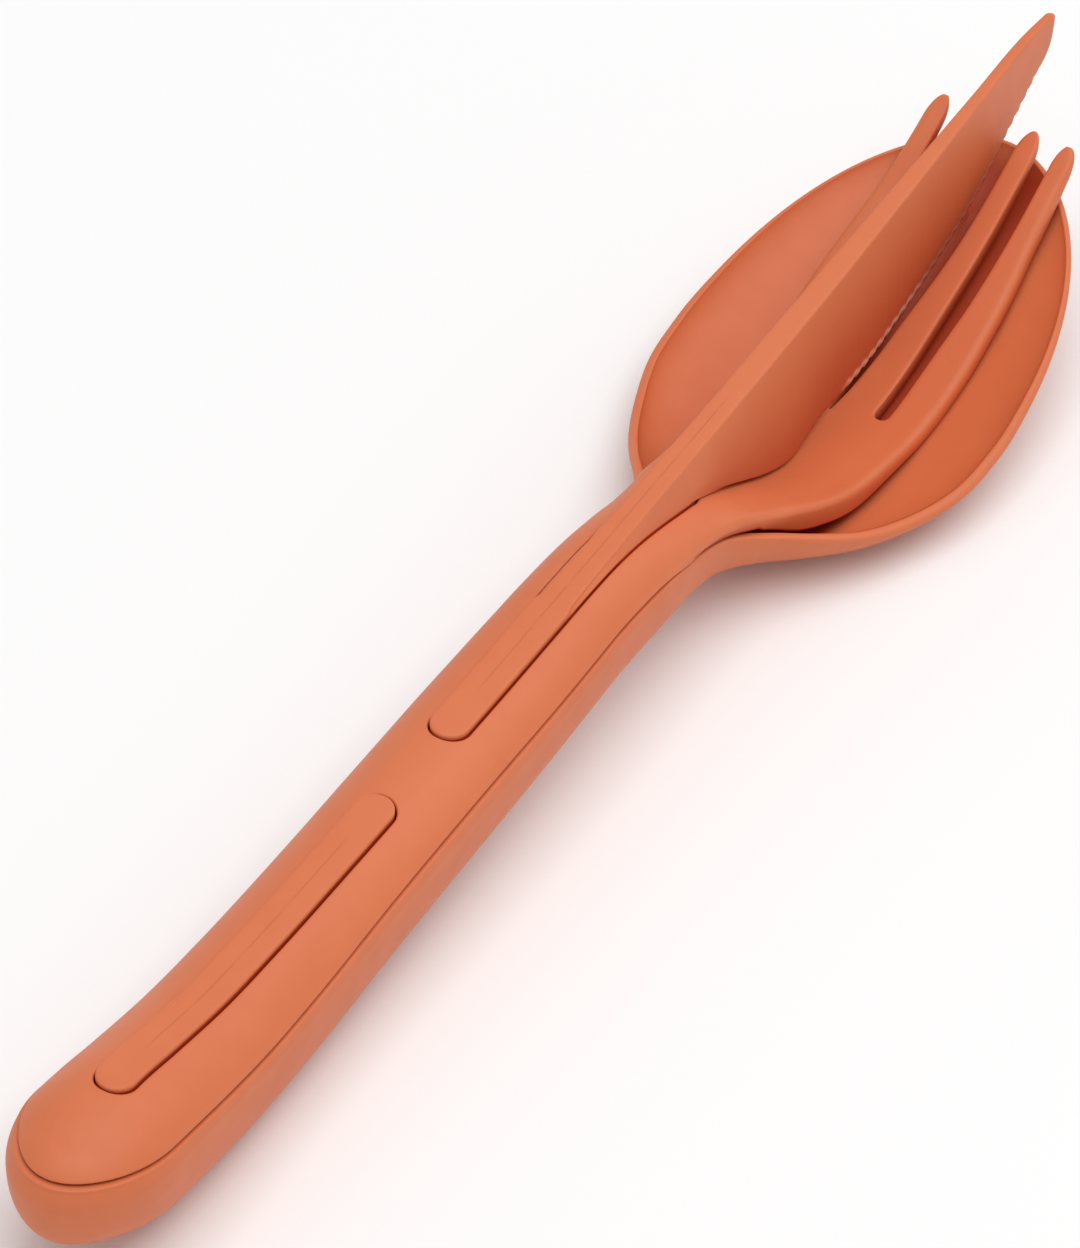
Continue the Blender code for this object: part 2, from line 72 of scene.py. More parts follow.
# skin of the closed handle and of the bowl: station, half width, height of the widest line,
# underside on the middle line, crown on the middle line
SKIN = (
    (0.0, 8.9, 13.7, 8.9, 14.6),
    (5.0, 8.9, 13.85, 6.3, 18.1),
    (8.0, 8.9, 13.85, 4.4, 19.35),
    (15.0, 8.65, 13.3, 1.6, 19.95),
    (22.0, 8.38, 12.5, 0.55, 18.95),
    (31.0, 8.08, 11.8, -0.1, 17.8),
    (40.0, 7.8, 11.9, 0.15, 17.65),
    (55.0, 7.4, 12.77, 1.63, 18.06),
    (70.0, 7.26, 13.61, 3.18, 18.65),
    (85.0, 7.12, 14.34, 4.76, 19.3),
    (93.0, 6.9, 14.7, 5.55, 19.8),
    (100.0, 6.67, 14.94, 6.2, 20.2),
    (104.0, 6.57, 14.8, 6.3, 20.2),
    (108.0, 6.46, 14.5, 6.3, 19.8),
    (112.0, 6.2, 13.95, 6.1, 19.0),
    (116.0, 6.0, 13.1, 5.7, 17.95),
    (119.8, 6.35, 12.15, 5.0, 16.75),
    (121.7, 7.1, 11.6, 4.5, 15.8),
    (125.6, 9.5, 10.15, 3.05, 13.5),
    (129.5, 12.6, 8.55, 1.5, 11.1),
    (133.5, 15.3, 7.1, 0.3, 8.65),
    (139.0, 18.1, 6.4, -0.15, 6.2),
    (145.0, 20.2, 6.7, 0.0, 5.2),
    (152.0, 20.75, 7.7, 0.7, 4.9),
    (158.0, 20.75, 8.9, 1.8, 6.0),
    (165.0, 20.9, 10.4, 3.85, 8.6),
    (175.0, 21.15, 12.65, 7.9, 12.95),
    (183.0, 21.25, 14.4, 11.9, 17.35),
    (BOWL_END, 21.25, 15.3, 13.6, 19.75),
)
# roundness of the section above its widest line, by station
UPPER_POWER = ((0.0, 1.76), (62.0, 1.76), (80.0, 1.88), (100.0, 2.06), (112.0, 2.2), (BOWL_END, 2.2))
HANDLE_POWER = 2.35
BOWL_POWER = 2.0
SLANT_POWER = 1.7
# the wall thins by this share at the bowl's rim, over this depth
RIM_THINS = ((140.0, 0.1), (150.0, 0.15), (168.0, 0.4), (BOWL_END, 0.4))
RIM_SLANT = 3.2
HANDLE_TO_BOWL = (108.0, 135.0)
END_LENGTH = 13.2
END_SPINE = 5.5
FAN_END = 2 * END_SPINE
BOWL_TIP_POWER = 1.87
BOWL_TIP_SPINE = 9.0
RIM_RISE = ((0.0, 2.6), (8.0, 1.9), (20.0, 1.45), (85.0, 1.3), (112.0, 1.2),
            (119.8, 0.7), (123.0, 0.25), (130.0, 0.0), (BOWL_END, 0.0))
RIM_OPENS = (119.0, 130.0)
# an angle on the skin is worked out from at least these heights, and at most this share of one
LEAST_ABOVE, LEAST_BELOW, MOST_SHARE = 3.0, 1.0, 0.98
# step along the spoon, and stations round the handle end and round the tip of the bowl
SPOON_STEP = 0.65
END_STEPS = 40
BOWL_STEPS = 90
# points up each face of the spoon's section, and across the crest between them
FACE_POINTS = 40
CREST_POINTS = 15
# the crest's peak and exponent on the handle, and how far each moves on the way to the bowl
CREST_PEAK, PEAK_MOVES = 0.5, 0.28
CREST_POWER, POWER_FALLS = 4, 2
# height of the bowl rim's inner corner, as a share of the outer one's
INNER_CORNER = 0.2
# painted shade on the spoon's inside under the fork: strength, the width over which it fades, where it
# starts and ends
SHADE = 0.9
SHADE_WIDTH = 1.2
SHADE_STARTS, SHADE_ENDS = (118.0, 128.0), (184.0, 187.0)

# the fork from the neck on: station, half width, height of the edge above the middle
FORK_EDGE = (
    (104.0, 6.3, -4.0),
    (112.0, 6.2, -3.4),
    (116.0, 6.0, -2.85),
    (120.8, 6.4, -2.05),
    (123.0, 6.9, -1.35),
    (127.4, 8.0, -0.85),
    (130.6, 8.75, -0.4),
    (136.4, 9.9, 0.3),
    (141.0, 10.35, 0.5),
    (146.0, 10.65, 0.65),
    (155.0, 10.95, 0.8),
    (165.0, 10.8, 0.7),
    (171.0, 10.35, 0.5),
    (176.0, 9.75, 0.35),
    (182.0, 9.4, 0.2),
    (FORK_END, 9.2, 0.1),
)
RIM_SHARE = 0.96
SKIN_TO_FORK = (106.0, 114.0)
ARCH_TO_PALM = (108.0, 128.0)
PALM = (122.0, 148.0)
EDGES_SOFTEN = (116.0, 130.0)
NECK_END = 125.0
SLOT_HALF = 2.4
# the lip below the palm's outer edge: depth, full and fading width, where it starts and ends
LIP = 1.0
LIP_BAND = (1.6, 2.0)
LIP_STARTS, LIP_ENDS = (NECK_END, 131.0), (136.0, 150.0)
# full and fading width of the band along the outer edge that takes the palm's radius
ROUND_BAND = (1.1, 0.5)
LOWER_ROUND = 0.55
# the most of the thickness that the rounding above and below may take
UPPER_MOST, LOWER_MOST = 0.5, 0.48
# how far before the mix with the cover the plate's edges are already worked out
PLATE_LEAD = 4.0
# the share of painted shade that the outer wall loses, and over which stations
WALL_SHADE_LOSS = 0.7
WALL_SHADE_SPAN = (118.0, 130.0)
REAR_SLOT = (12.5, 63.9)
FRONT_SLOT = (73.6, 121.5)
# past the end of a slot its column opens again over this length
PINCH = 1.4
MIDDLE_ROOT = 150.0
MIDDLE_ROOT_ROUND = 0.4
MIDDLE_GAP = ((MIDDLE_ROOT, 0.1), (153.0, 0.3), (156.0, 0.5), (162.0, 0.95), (167.0, 1.45),
              (172.0, 1.88), (178.0, 2.15), (FORK_END, 2.25))
SIDE_ROOT = 151.2
SIDE_ROOT_ROUND = 0.9
# the gap between the two tines of a side: station, its inner and its outer edge
SIDE_GAP = ((SIDE_ROOT, 4.65, 6.35), (160.0, 4.65, 6.35), (166.0, 4.7, 6.75),
            (174.0, 4.75, 6.9), (180.0, 4.75, 6.9), (FORK_END, 4.7, 6.8))
TINE_TIP = 2.6
# over this length before its end a tine loses this share of its thickness
TINE_THINS = 8.0
TINE_TAPER = 0.45
INNER_TINE_AXIS = 3.47
OUTER_TINE_AXIS = 8.0
# columns of the inner and of the outer tine
STRIP_A = 14
STRIP_B = 13
# step along the fork, the least step, those that close up on a slot's end or a gap's root, and
# the stations round each of them and round the tips
FORK_STEP = 0.62
LEAST_STEP = 0.012
CLOSE_STEPS = np.array([0.02, 0.06, 0.12, 0.2, 0.3, 0.42])
SLOT_STEPS, SIDE_ROOT_STEPS, MIDDLE_ROOT_STEPS, TINE_STEPS = 14, 10, 6, 22

# the knife: spine and edge as station, height, half thickness
PAD_GAP = 0.18
PAD_HALF = SLOT_HALF - PAD_GAP
REAR_PAD, FRONT_PAD = ((start + PAD_GAP, stop - PAD_GAP) for start, stop in (REAR_SLOT, FRONT_SLOT))
HEEL = FRONT_SLOT[1] - 7.5
TONGUE_END = FRONT_SLOT[1] - SLOT_HALF - CLEARANCE
BAR_START = 9.0
# the bar's top is a shelf below the crown of the skin, and its foot lies BAR_DEPTH lower
SHELF_DROP = 3.35
BAR_DEPTH = 6.75
HEEL_SLOPE = 2.5
TONGUE_DEPTH = 2.1
TONGUE_SETTLE = 1.3
# the side of a pad is upright down to this depth below the crown
PAD_FOOT = 0.3
PAD_PROUD = ((12.0, 0.2), (63.0, 0.22), (75.0, 0.25), (90.0, 0.3), (95.0, 0.35))
SPINE = ((95.0, 20.25, 2.0), (100.0, 20.6, 1.8), (105.0, 20.95, 1.7), (110.0, 21.35, 1.65),
         (120.0, 22.0, 1.55), (130.0, 22.75, 1.45), (140.0, 23.6, 1.4), (150.0, 24.5, 1.3),
         (160.0, 25.45, 1.12), (170.0, 26.5, 0.92), (180.0, 27.6, 0.72), (190.0, 28.6, 0.58),
         (LENGTH, 28.4, 0.4))
EDGE = ((TONGUE_END, 17.65, 2.15), (120.5, 16.8, 2.25), (125.6, 13.95, 2.3), (129.5, 11.55, 2.25),
        (133.5, 9.1, 2.1), (139.0, 6.65, 1.75), (145.0, 5.6, 0.9), (152.0, 5.35, 0.3),
        (158.0, 6.2, 0.2), (163.0, 7.6, 0.2), (170.0, 9.6, 0.2), (179.3, 13.2, 0.2),
        (185.5, 17.2, 0.2), (191.0, 21.1, 0.2), (194.4, 23.7, 0.2), (LENGTH, 25.6, 0.2))
# how far the blade's lower edge sits below the solid's
SETTLE = ((TONGUE_END, 0.5), (119.8, 0.44), (121.2, 0.34), (125.6, 0.15), (138.0, 0.15),
          (150.0, 0.28), (154.0, 0.42), (160.0, 0.75), (168.0, 0.75), (178.0, 0.3), (184.0, 0.0),
          (LENGTH, 0.0))
UNDERCUT = 0.3
UNDERCUT_FADE = 2.0
# near the fork's slot the blade's foot is this much wider than its table says
FOOT_WIDER = 0.38
FOOT_NARROWS = (122.0, 127.0)
# least half width of the foot, in millimetres and as a share of the back's
LEAST_HALF = 0.45
LEAST_SHARE = 0.8
PAD_TO_SPINE = (85.0, 105.0)
# the nose closes at this share of its height, and its back and foot grow thinner by these shares
BLADE_NOSE = 1.3
NOSE_LEVEL = 0.62
NOSE_THINS = (0.8, 0.7)
TEETH_START, TEETH_END = (141.5, 143.5), (191.5, 193.0)
# the teeth are counted from this far before the first
TOOTH_LEAD = 2
SHARPENS = (139.0, 151.0)
BEVEL_SHARE = 0.3
EDGE_HALF = 0.08
# points of the section: round the corner of its top, all along its top, down its side, below
ARC_POINTS = 8
TOP_POINTS = ARC_POINTS + 2
SIDE_SHARES = (0.03, *np.linspace(0.12, 0.95, 8), 0.985, 1.0)
BELOW_POINTS = 5
# steps along the pads, past the heel, behind the teeth and along them, and stations round the ends
PAD_STEP, HEEL_STEP, BLADE_STEP, TOOTH_STEP = 0.8, 0.4, 0.5, 0.1
PAD_END_STEPS, TONGUE_STEPS, NOSE_STEPS = 16, 12, 28
# what a section is: the bar alone, a pad on the bar, a pad past the bar's end, the blade
BAR, PAD, LOOSE_PAD, BLADE = range(4)
# painted shade down the blade's side, and a painted highlight on the ground edge, which loses a share
# on the way
BLADE_SHADE, BLADE_SHADE_POWER = 0.68, 1.4
BLADE_SHADE_STARTS, BLADE_SHADE_ENDS = (118.0, 126.0), (165.0, 190.0)
HIGHLIGHT_STARTS, HIGHLIGHT_ENDS = (151.0, 154.0), (180.0, 186.0)
HIGHLIGHT_LOSS, HIGHLIGHT_FADES = 0.6, (166.0, 170.0)

# the plastic: noise scales per metre, the share of the wide streaks, and where they turn colour
FLOW_SCALE, CLOUD_SCALE, BREAK_SCALE = 55.0, 300.0, 240.0
FLOW_STRETCH = (1.0, 0.28, 1.0)
FLOW_SHARE = 0.75
STREAKS = (0.36, 0.66)
ROUGH_SPREAD = 0.05
# parting lines: half width, fading length and the height above which they show in metres, the
# stations they span, the noise that breaks them up, and the share of colour they take
LINE_CORE = 0.3
LINE_COLOUR = 0.25
PAD_LINE_HALF, PAD_LINE_FADE = 0.00013, 0.004
PAD_LINES = ((19.0, 58.0), (80.0, 131.0))
PAD_LINE_ABOVE = (0.0165, 0.0172)
PAD_LINE_BREAKS = (0.34, 0.5)
PAD_LINE_LEAST = 0.35
END_LINE_HALF, END_LINE_FADE = 0.00012, 0.002
END_LINE = (-1.0, 7.0)
END_LINE_HEIGHT, END_LINE_BEND, END_LINE_SHARE = 0.0077, 6.0, 0.8

# the camera, in the row frame
CAMERA_TARGET = (-1.72, -2.22, 15.97)
CAMERA_DISTANCE = 1319.06
CAMERA_AZIMUTH = 33.43
CAMERA_ELEVATION = 44.50
CAMERA_ROLL = -0.45
CAMERA_LENS = 419.27
# the studio, in metres: place and size of each light, rings of the level floor, height of the turn
OVERHEAD = ((0.25, 0.0, 1.45), 1.5)
SIDE = ((0.45, 1.1, 0.9), 0.9)
FLOOR_RINGS = (0.0, 0.2, 0.6, 1.4, 2.4)
BACKDROP = 0.9


def metres(name, description, default, least, most):
    """A length that a user may change."""
    return bpy.props.FloatProperty(name=name, description=description, default=default,
                                   min=least, max=most, unit='LENGTH')


def tint(name, description, default):
    """A colour that a user may change."""
    return bpy.props.FloatVectorProperty(name=name, description=description, default=default,
                                         size=3, min=0.0, max=1.0, subtype='COLOR')


class SpoonSizes(bpy.types.PropertyGroup):
    """Sizes of the spoon that a user may change."""
    wall: metres("Wall", "Thickness of the trough and the bowl", 0.0015, 0.0008, 0.003)
    bowl_rim: metres("Bowl rim", "Height of the rounding along the rim of the bowl",
                     0.0007, 0.0001, 0.0015)
    handle_rim: metres("Handle rim", "Height of the rounding where the fork lies on the spoon",
                       0.00032, 0.0001, 0.001)


class ForkSizes(bpy.types.PropertyGroup):
    """Sizes of the fork that a user may change."""
    wall: metres("Wall", "Thickness of the handle cover, palm and tines", 0.0021, 0.0012, 0.003)
    slot_round: metres("Slot round", "Radius of the top edge of the two slots", 0.0003, 0.0001, 0.001)
    palm_round: metres("Palm round", "Radius of the top edges of the palm and the tines",
                       0.00095, 0.0001, 0.001)
    foot_round: metres("Foot round", "Radius of the cover's lower edge along the seam",
                       0.0003, 0.0001, 0.0006)


class KnifeSizes(bpy.types.PropertyGroup):
    """Sizes of the knife that a user may change."""
    pad_round: metres("Pad round", "Radius of the top edges of the two pads", 0.0003, 0.0001, 0.001)
    spine_round: metres("Spine round", "Radius of the two edges of the blade's back",
                        0.0003, 0.0001, 0.0008)
    bevel: metres("Bevel", "Height of the ground face along the cutting edge", 0.0009, 0.0002, 0.003)
    tooth_pitch: metres("Tooth pitch", "Distance from one tooth to the next along the edge",
                        0.0016, 0.0008, 0.004)
    tooth_depth: metres("Tooth depth", "Depth of the hollow between two teeth", 0.0004, 0.0, 0.001)


class PlasticFinish(bpy.types.PropertyGroup):
    """Colour and surface of the moulded plastic."""
    colour: tint("Colour", "Main colour of the plastic", (0.69, 0.177, 0.067))
    streak: tint("Streak", "Colour of the faint streaks where the melt flowed", (0.655, 0.161, 0.058))
    # painted shade where the pieces lie close together and in the gaps; the parting lines also take a
    # share of it as their dark line
    painted_shade_and_seam_colour: tint("Close places", "Deep colour where the pieces lie close together",
                       (0.46, 0.045, 0.009))
    # painted highlight along the blade's ground edge
    ground_edge_highlight_colour: tint("Ground edge", "Pale colour of the blade's ground edge", (0.86, 0.45, 0.33))
    roughness: bpy.props.FloatProperty(
        name="Roughness", description="Mean roughness of the matt surface",
        default=0.5, min=0.0, max=1.0, subtype='FACTOR')
    grain_size: metres("Grain size", "Width of one grain of the eroded mould surface",
                       0.00035, 0.0001, 0.002)
    grain_height: metres("Grain height", "Height of that grain", 0.000006, 0.0, 0.0001)
    line_height: metres("Line height", "Height of the fine lines where the mould parts",
                        0.00003, 0.0, 0.0002)


class StudioSettings(bpy.types.PropertyGroup):
    """Floor and lights."""
    floor_colour: tint("Floor", "Colour of the floor and the backdrop", (0.93, 0.93, 0.93))
    overhead_power: bpy.props.FloatProperty(
        name="Overhead light", description="Power of the large light above",
        default=13.8, min=0.0, max=500.0, unit='POWER')
    side_power: bpy.props.FloatProperty(
        name="Side light", description="Power of the light behind",
        default=2.6, min=0.0, max=500.0, unit='POWER')
    sky: bpy.props.FloatProperty(
        name="Sky", description="Strength of the even white light from all sides",
        default=0.53, min=0.0, max=5.0, subtype='FACTOR')


def smooth(table, column, s):
    """Cubic curve through one column of a table.

    Between two rows it is the Hermite cubic in t = (s - left) / (right - left); the slope at a row
    is the mean of the two slopes beside it, each weighted by the length of the other side's step.
    """
    rows = np.array(table, float)
    x, y = rows[:, 0], rows[:, column]
    s = np.clip(np.asarray(s, float), x[0], x[-1])
    step = np.diff(x)
    slope = np.diff(y) / step
    tangent = np.zeros_like(y)
    tangent[1:-1] = (slope[:-1] * step[1:] + slope[1:] * step[:-1]) / (step[:-1] + step[1:])
    tangent[0], tangent[-1] = slope[0], slope[-1]
    i = np.clip(np.searchsorted(x, s, side="right") - 1, 0, len(x) - 2)
    t = (s - x[i]) / step[i]
    return ((1 + 2 * t) * (1 - t) ** 2 * y[i] + t * (1 - t) ** 2 * step[i] * tangent[i]
            + t * t * (3 - 2 * t) * y[i + 1] + t * t * (t - 1) * step[i] * tangent[i + 1])


def ease(span, s):
    """Rises from 0 to 1 over a span of stations as t squared times (3 - 2 t)."""
    t = np.clip((np.asarray(s, float) - span[0]) / (span[1] - span[0]), 0, 1)
    return t * t * (3 - 2 * t)


def rise_and_fall(up, down, s):
    """Eases from 0 to 1 over the first span of stations and back to 0 over the second."""
    return ease(up, s) * (1 - ease(down, s))


def band(inward, widths):
    """1 from the border to the first width in from it, then evenly down to 0 over the second."""
    return 1 - np.clip((inward - widths[0]) / widths[1], 0, 1)


def quarter(u):
    """Height of a quarter circle of radius 1 at the distance u from its foot, level past 1."""
    return np.sqrt(1 - (1 - np.clip(u, 0, 1)) ** 2)


def round_drop(distance, radius):
    """How far an edge of that radius lies below the flat, at a distance in from the border."""
    return radius * (1 - quarter(distance / np.maximum(radius, TINY)))


def even_steps(start, stop, step):
    """Stations from start to stop, no further apart than step."""
    return np.linspace(start, stop, int(np.ceil((stop - start) / step)) + 1)


def round_steps(start, stop, count):
    """Stations from start to stop that close up at start, as the points of a quarter circle do."""
    return start + (stop - start) * (1 - np.cos(np.linspace(0, np.pi / 2, count + 1)))


def closing_shares(count):
    """Shares from 0 to 1 that close up at both ends: (1 - cos(pi t)) / 2 for even t."""
    return (1 - np.cos(np.linspace(0, np.pi, count))) / 2


def outline(s):
    """Half width of the spoon from above.

    The table's half width times a round handle end, sqrt(1 - e^2), and times the round tip of the
    bowl, (1 - t^p)^(1/p), where e and t are the shares of the way into the end and the tip.
    """
    end = np.clip((END_LENGTH - s) / END_LENGTH, 0, 1)
    tip = np.clip((s - BOWL_SHOULDER) / (BOWL_END - BOWL_SHOULDER), 0, 1)
    round_tip = (1 - tip ** BOWL_TIP_POWER) ** (1 / BOWL_TIP_POWER)
    return smooth(SKIN, 1, s) * np.sqrt(1 - end ** 2) * round_tip


def spine_of(s):
    """Station on the middle line where the cross line of an outline station starts.

    It is the station itself, but within twice the spine length of an end it draws back from that
    end along a parabola, so that the cross lines fan round the end and never meet in one point.
    """
    s = np.asarray(s, float)
    back = BOWL_END - s
    near = END_SPINE + s ** 2 / (4 * END_SPINE)
    far = BOWL_END - BOWL_TIP_SPINE - back ** 2 / (4 * BOWL_TIP_SPINE)
    return np.where(s < FAN_END, near, np.where(back < 2 * BOWL_TIP_SPINE, far, s))


def lower_power(s):
    """Exponent of the section below the widest line, from the handle's to the bowl's."""
    return HANDLE_POWER + (BOWL_POWER - HANDLE_POWER) * ease(HANDLE_TO_BOWL, s)


def upper_power(s):
    """Exponent of the section above the widest line."""
    return smooth(UPPER_POWER, 1, s)


def skin_point(s, angle):
    """Points (x, station, z) of the skin round the closed handle and the bowl.

    Each section is a superellipse: x is the half width times cos(angle)^(2/p) and z stands
    sin(angle)^(2/p) times the height above or below the widest line. The angle is -90 degrees on
    the underside and 90 on the crown, and p differs above and below.
    """
    s, angle = np.broadcast_arrays(np.asarray(s, float), angle)
    m = spine_of(s)
    wide = smooth(SKIN, 2, s)
    lower = angle < 0
    power = np.where(lower, lower_power(s), upper_power(s))
    height = np.where(lower, wide - smooth(SKIN, 3, m), smooth(SKIN, 4, m) - wide)
    out = np.abs(np.cos(angle)) ** (2 / power)
    up = np.sign(angle) * np.abs(np.sin(angle)) ** (2 / power)
    return np.stack([outline(s) * out, m + (s - m) * out, wide + height * up], -1)


def skin_angle(s, rise):
    """Angle on the skin at a height above the widest line, or below it where the rise is negative."""
    m = spine_of(s)
    wide = smooth(SKIN, 2, s)
    above = np.maximum(smooth(SKIN, 4, m) - wide, LEAST_ABOVE)
    below = np.maximum(wide - smooth(SKIN, 3, m), LEAST_BELOW)
    up = np.arcsin(np.clip(rise / above, 0, MOST_SHARE) ** (upper_power(s) / 2))
    down = np.arcsin(np.clip(-rise / below, 0, MOST_SHARE) ** (lower_power(s) / 2))
    return up - down


def spread(x, y, z):
    """Points of a grid from three arrays that each hold for a row, a column or all of it."""
    return np.stack(np.broadcast_arrays(x, y, z), -1)


def grid_quads(keep, offset=0, flip=False):
    """Corner numbers of the quads of a grid, row by row, for the cells that keep holds."""
    columns = keep.shape[1] + 1
    i, j = np.nonzero(keep)
    a = offset + i * columns + j
    quads = np.stack([a, a + 1, a + columns + 1, a + columns], 1)
    return quads[:, ::-1] if flip else quads


def open_edges(keep, across):
    """Pairs of grid points along every open border of the kept cells, the middle plane left out."""
    columns = keep.shape[1] + 1
    framed = np.pad(keep, 1).astype(int)
    along_row = (framed[:-1, 1:-1] != framed[1:, 1:-1])
    along_column = (framed[1:-1, :-1] != framed[1:-1, 1:])
    i, j = np.nonzero(along_row)
    first = np.stack([i * columns + j, i * columns + j + 1], 1)
    i, j = np.nonzero(along_column)
    second = np.stack([i * columns + j, (i + 1) * columns + j], 1)
    pairs = np.concatenate([first, second])
    flat = np.abs(across.ravel())
    return pairs[np.maximum(flat[pairs[:, 0]], flat[pairs[:, 1]]) > 1e-4]


def distance_to(points, a, b):
    """Distance in plan of every point from the nearest of the segments a to b."""
    way = b - a
    length = np.maximum((way ** 2).sum(1), 1e-12)
    best = np.empty(len(points))
    for part in np.array_split(np.arange(len(points)), max(1, len(points) // 2000)):
        p = points[part][:, None]
        t = np.clip(((p - a) * way).sum(2) / length, 0, 1)
        best[part] = np.sqrt(((p - a - t[..., None] * way) ** 2).sum(2)).min(1)
    return best


def add_object(name, points, quads, material, merge, marks):
    """Put a mesh object into the scene, its doubled points merged and its empty faces gone.

    Each mark is a share per point that the material reads by its name.
    """
    mesh = bpy.data.meshes.new(name)
    mesh.from_pydata(points.tolist(), [], quads.tolist())
    for mark, share in marks.items():
        mesh.attributes.new(mark, 'FLOAT', 'POINT').data.foreach_set("value", share)
    bm = bmesh.new()
    bm.from_mesh(mesh)
    bmesh.ops.remove_doubles(bm, verts=bm.verts, dist=merge)
    bmesh.ops.dissolve_degenerate(bm, dist=TINY, edges=bm.edges)
    bmesh.ops.delete(bm, geom=[v for v in bm.verts if not v.link_faces], context='VERTS')
    bmesh.ops.recalc_face_normals(bm, faces=bm.faces)
    bm.to_mesh(mesh)
    bm.free()
    mesh.shade_smooth()
    mesh.materials.append(material)
    made = bpy.data.objects.new(name, mesh)
    bpy.context.scene.collection.objects.link(made)
    return made


def make_piece(name, node, points, quads, material, sharp, **marks):
    """Mirror a half surface across the middle, make an object of it and hand it to the frame."""
    half = np.array(points, float)
    half[:, 1] -= LENGTH / 2
    half[:, 2] += DATUM
    half *= MM
    # the facets of the solid cut a hair inside the curves, so the mesh keeps to its box
    low, high = (np.array(corner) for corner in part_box(node))
    half = np.clip(half, low, high)
    both = np.concatenate([half, half * (-1, 1, 1)])
    faces = np.concatenate([quads, quads[:, ::-1] + len(half)])
    marks = {mark: np.tile(share, 2) for mark, share in marks.items()}
    piece = add_object(name, both, faces, material, 2 * TINY, marks)
    piece.data.set_sharp_from_angle(angle=np.radians(sharp))
    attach(piece, "root")
    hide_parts(node)


def spoon_stations():
    """Even stations, closing up at the two round ends of the spoon."""
    return np.concatenate([round_steps(0.0, END_LENGTH, END_STEPS)[:-1],
                           even_steps(END_LENGTH, BOWL_SHOULDER, SPOON_STEP)[:-1],
                           round_steps(BOWL_END, BOWL_SHOULDER, BOWL_STEPS)[::-1]])


def trough(s, top, wall, opens):
    """Inner face of the spoon, from the middle of its floor up to an angle.

    It is the skin's own superellipse drawn in by the wall. Along the bowl its exponent is lower
    than the skin's, which makes the inside slant where the skin is upright.
    """
    angle = -np.pi / 2 + (np.pi / 2 + top[:, None]) * closing_shares(FACE_POINTS)[None]
    half, m = outline(s)[:, None], spine_of(s)[:, None]
    wide = smooth(SKIN, 2, s)[:, None]
    depth = wide - smooth(SKIN, 3, m) - wall
    power = (lower_power(s) * (1 - opens) + SLANT_POWER * opens)[:, None]
    skin = skin_point(s[:, None], angle)
    z = np.where(angle < 0, wide - depth * np.abs(np.sin(angle)) ** (2 / power), skin[..., 2])
    below = np.clip((z[:, -1:] - z) / RIM_SLANT, 0, 1)
    thins = (smooth(RIM_THINS, 1, s) * opens)[:, None]
    wall = wall * (1 - thins * (1 - below) ** 2)
    out = np.where(angle < 0, np.cos(angle) ** (2 / power), skin[..., 0] / np.maximum(half, TINY))
    out = out * (1 - wall / np.maximum(np.hypot(half, s[:, None] - m), TINY))
    return np.stack([half * out, m + (s[:, None] - m) * out, z], -1)


def spoon_grid(sizes):
    """Closed half section of the spoon at every station, from under the middle round to over it.

    The outer face is the skin from the underside up to the rim. A crest joins it to the trough:
    u runs across the wall, and the crest rises to its peak u0 as (1 - ((u0 - u) / u0)^p)^(1/p) and
    falls past it likewise. It is level with small corners under the fork, and leans outwards
    along the bowl, where its peak is close to the inside.
    """
    s = spoon_stations()
    opens = ease(RIM_OPENS, s)
    rim = smooth(RIM_RISE, 1, s)
    small, large = sizes.handle_rim / MM, sizes.bowl_rim / MM
    fall_out = small * (1 - opens) + large * opens
    fall_in = small * (1 - opens) + INNER_CORNER * large * opens
    top = skin_angle(s, rim - fall_out)
    angle = -np.pi / 2 + (np.pi / 2 + top[:, None]) * np.linspace(0, 1, FACE_POINTS)[None]
    outer = skin_point(s[:, None], angle)
    inner = trough(s, skin_angle(s, rim - fall_in), sizes.wall / MM, opens)
    u = closing_shares(CREST_POINTS)[None, 1:-1]
    peak = (CREST_PEAK + PEAK_MOVES * opens)[:, None]
    power = (CREST_POWER - POWER_FALLS * opens)[:, None]
    up = np.clip((peak - u) / peak, 0, 1)
    down = np.clip((u - peak) / (1 - peak), 0, 1)
    lift = np.where(u < peak, (1 - up ** power) ** (1 / power) * fall_out[:, None],
                    fall_out[:, None] - (1 - (1 - down ** power) ** (1 / power)) * fall_in[:, None])
    crest = outer[:, -1:] + (inner[:, -1:] - outer[:, -1:]) * u[..., None]
    crest[..., 2] = outer[:, -1:, 2] + lift
    outer[..., 2] = np.maximum(outer[..., 2], -DATUM)
    section = np.concatenate([outer, crest, inner[:, ::-1]], 1)
    section[:, (0, -1), 0] = 0.0
    return section


def painted_shade_under_fork(grid):
    """Share of painted shade on the spoon's inside: full under the fork, none beyond its edge."""
    x, s = grid[..., 0], grid[..., 1]
    inside = np.arange(grid.shape[1]) >= grid.shape[1] - FACE_POINTS
    below = band(x - smooth(FORK_EDGE, 1, s), (-SHADE_WIDTH, SHADE_WIDTH))
    return (SHADE * below * inside * rise_and_fall(SHADE_STARTS, SHADE_ENDS, s)).ravel()


def slot_half(s):
    """Half width of the slot column.

    Inside a slot it follows the round end. Just outside it opens again along a short ellipse, so
    that the column passes through the end of the slot, and further out it stays as wide as the slot.
    """
    half = np.full(len(s), SLOT_HALF)
    for start, stop in (REAR_SLOT, FRONT_SLOT):
        depth = np.minimum(s - start, stop - s)
        half = np.where(depth >= 0, half * quarter(depth / SLOT_HALF), half * quarter(-depth / PINCH))
    return half


def slot_distance(x, y):
    """Distance from the border of the nearer slot, a long shape with half round ends."""
    away = [np.hypot(x, np.maximum(0, np.maximum(start + SLOT_HALF - y, y - stop + SLOT_HALF)))
            for start, stop in (REAR_SLOT, FRONT_SLOT)]
    return np.minimum(*away) - SLOT_HALF


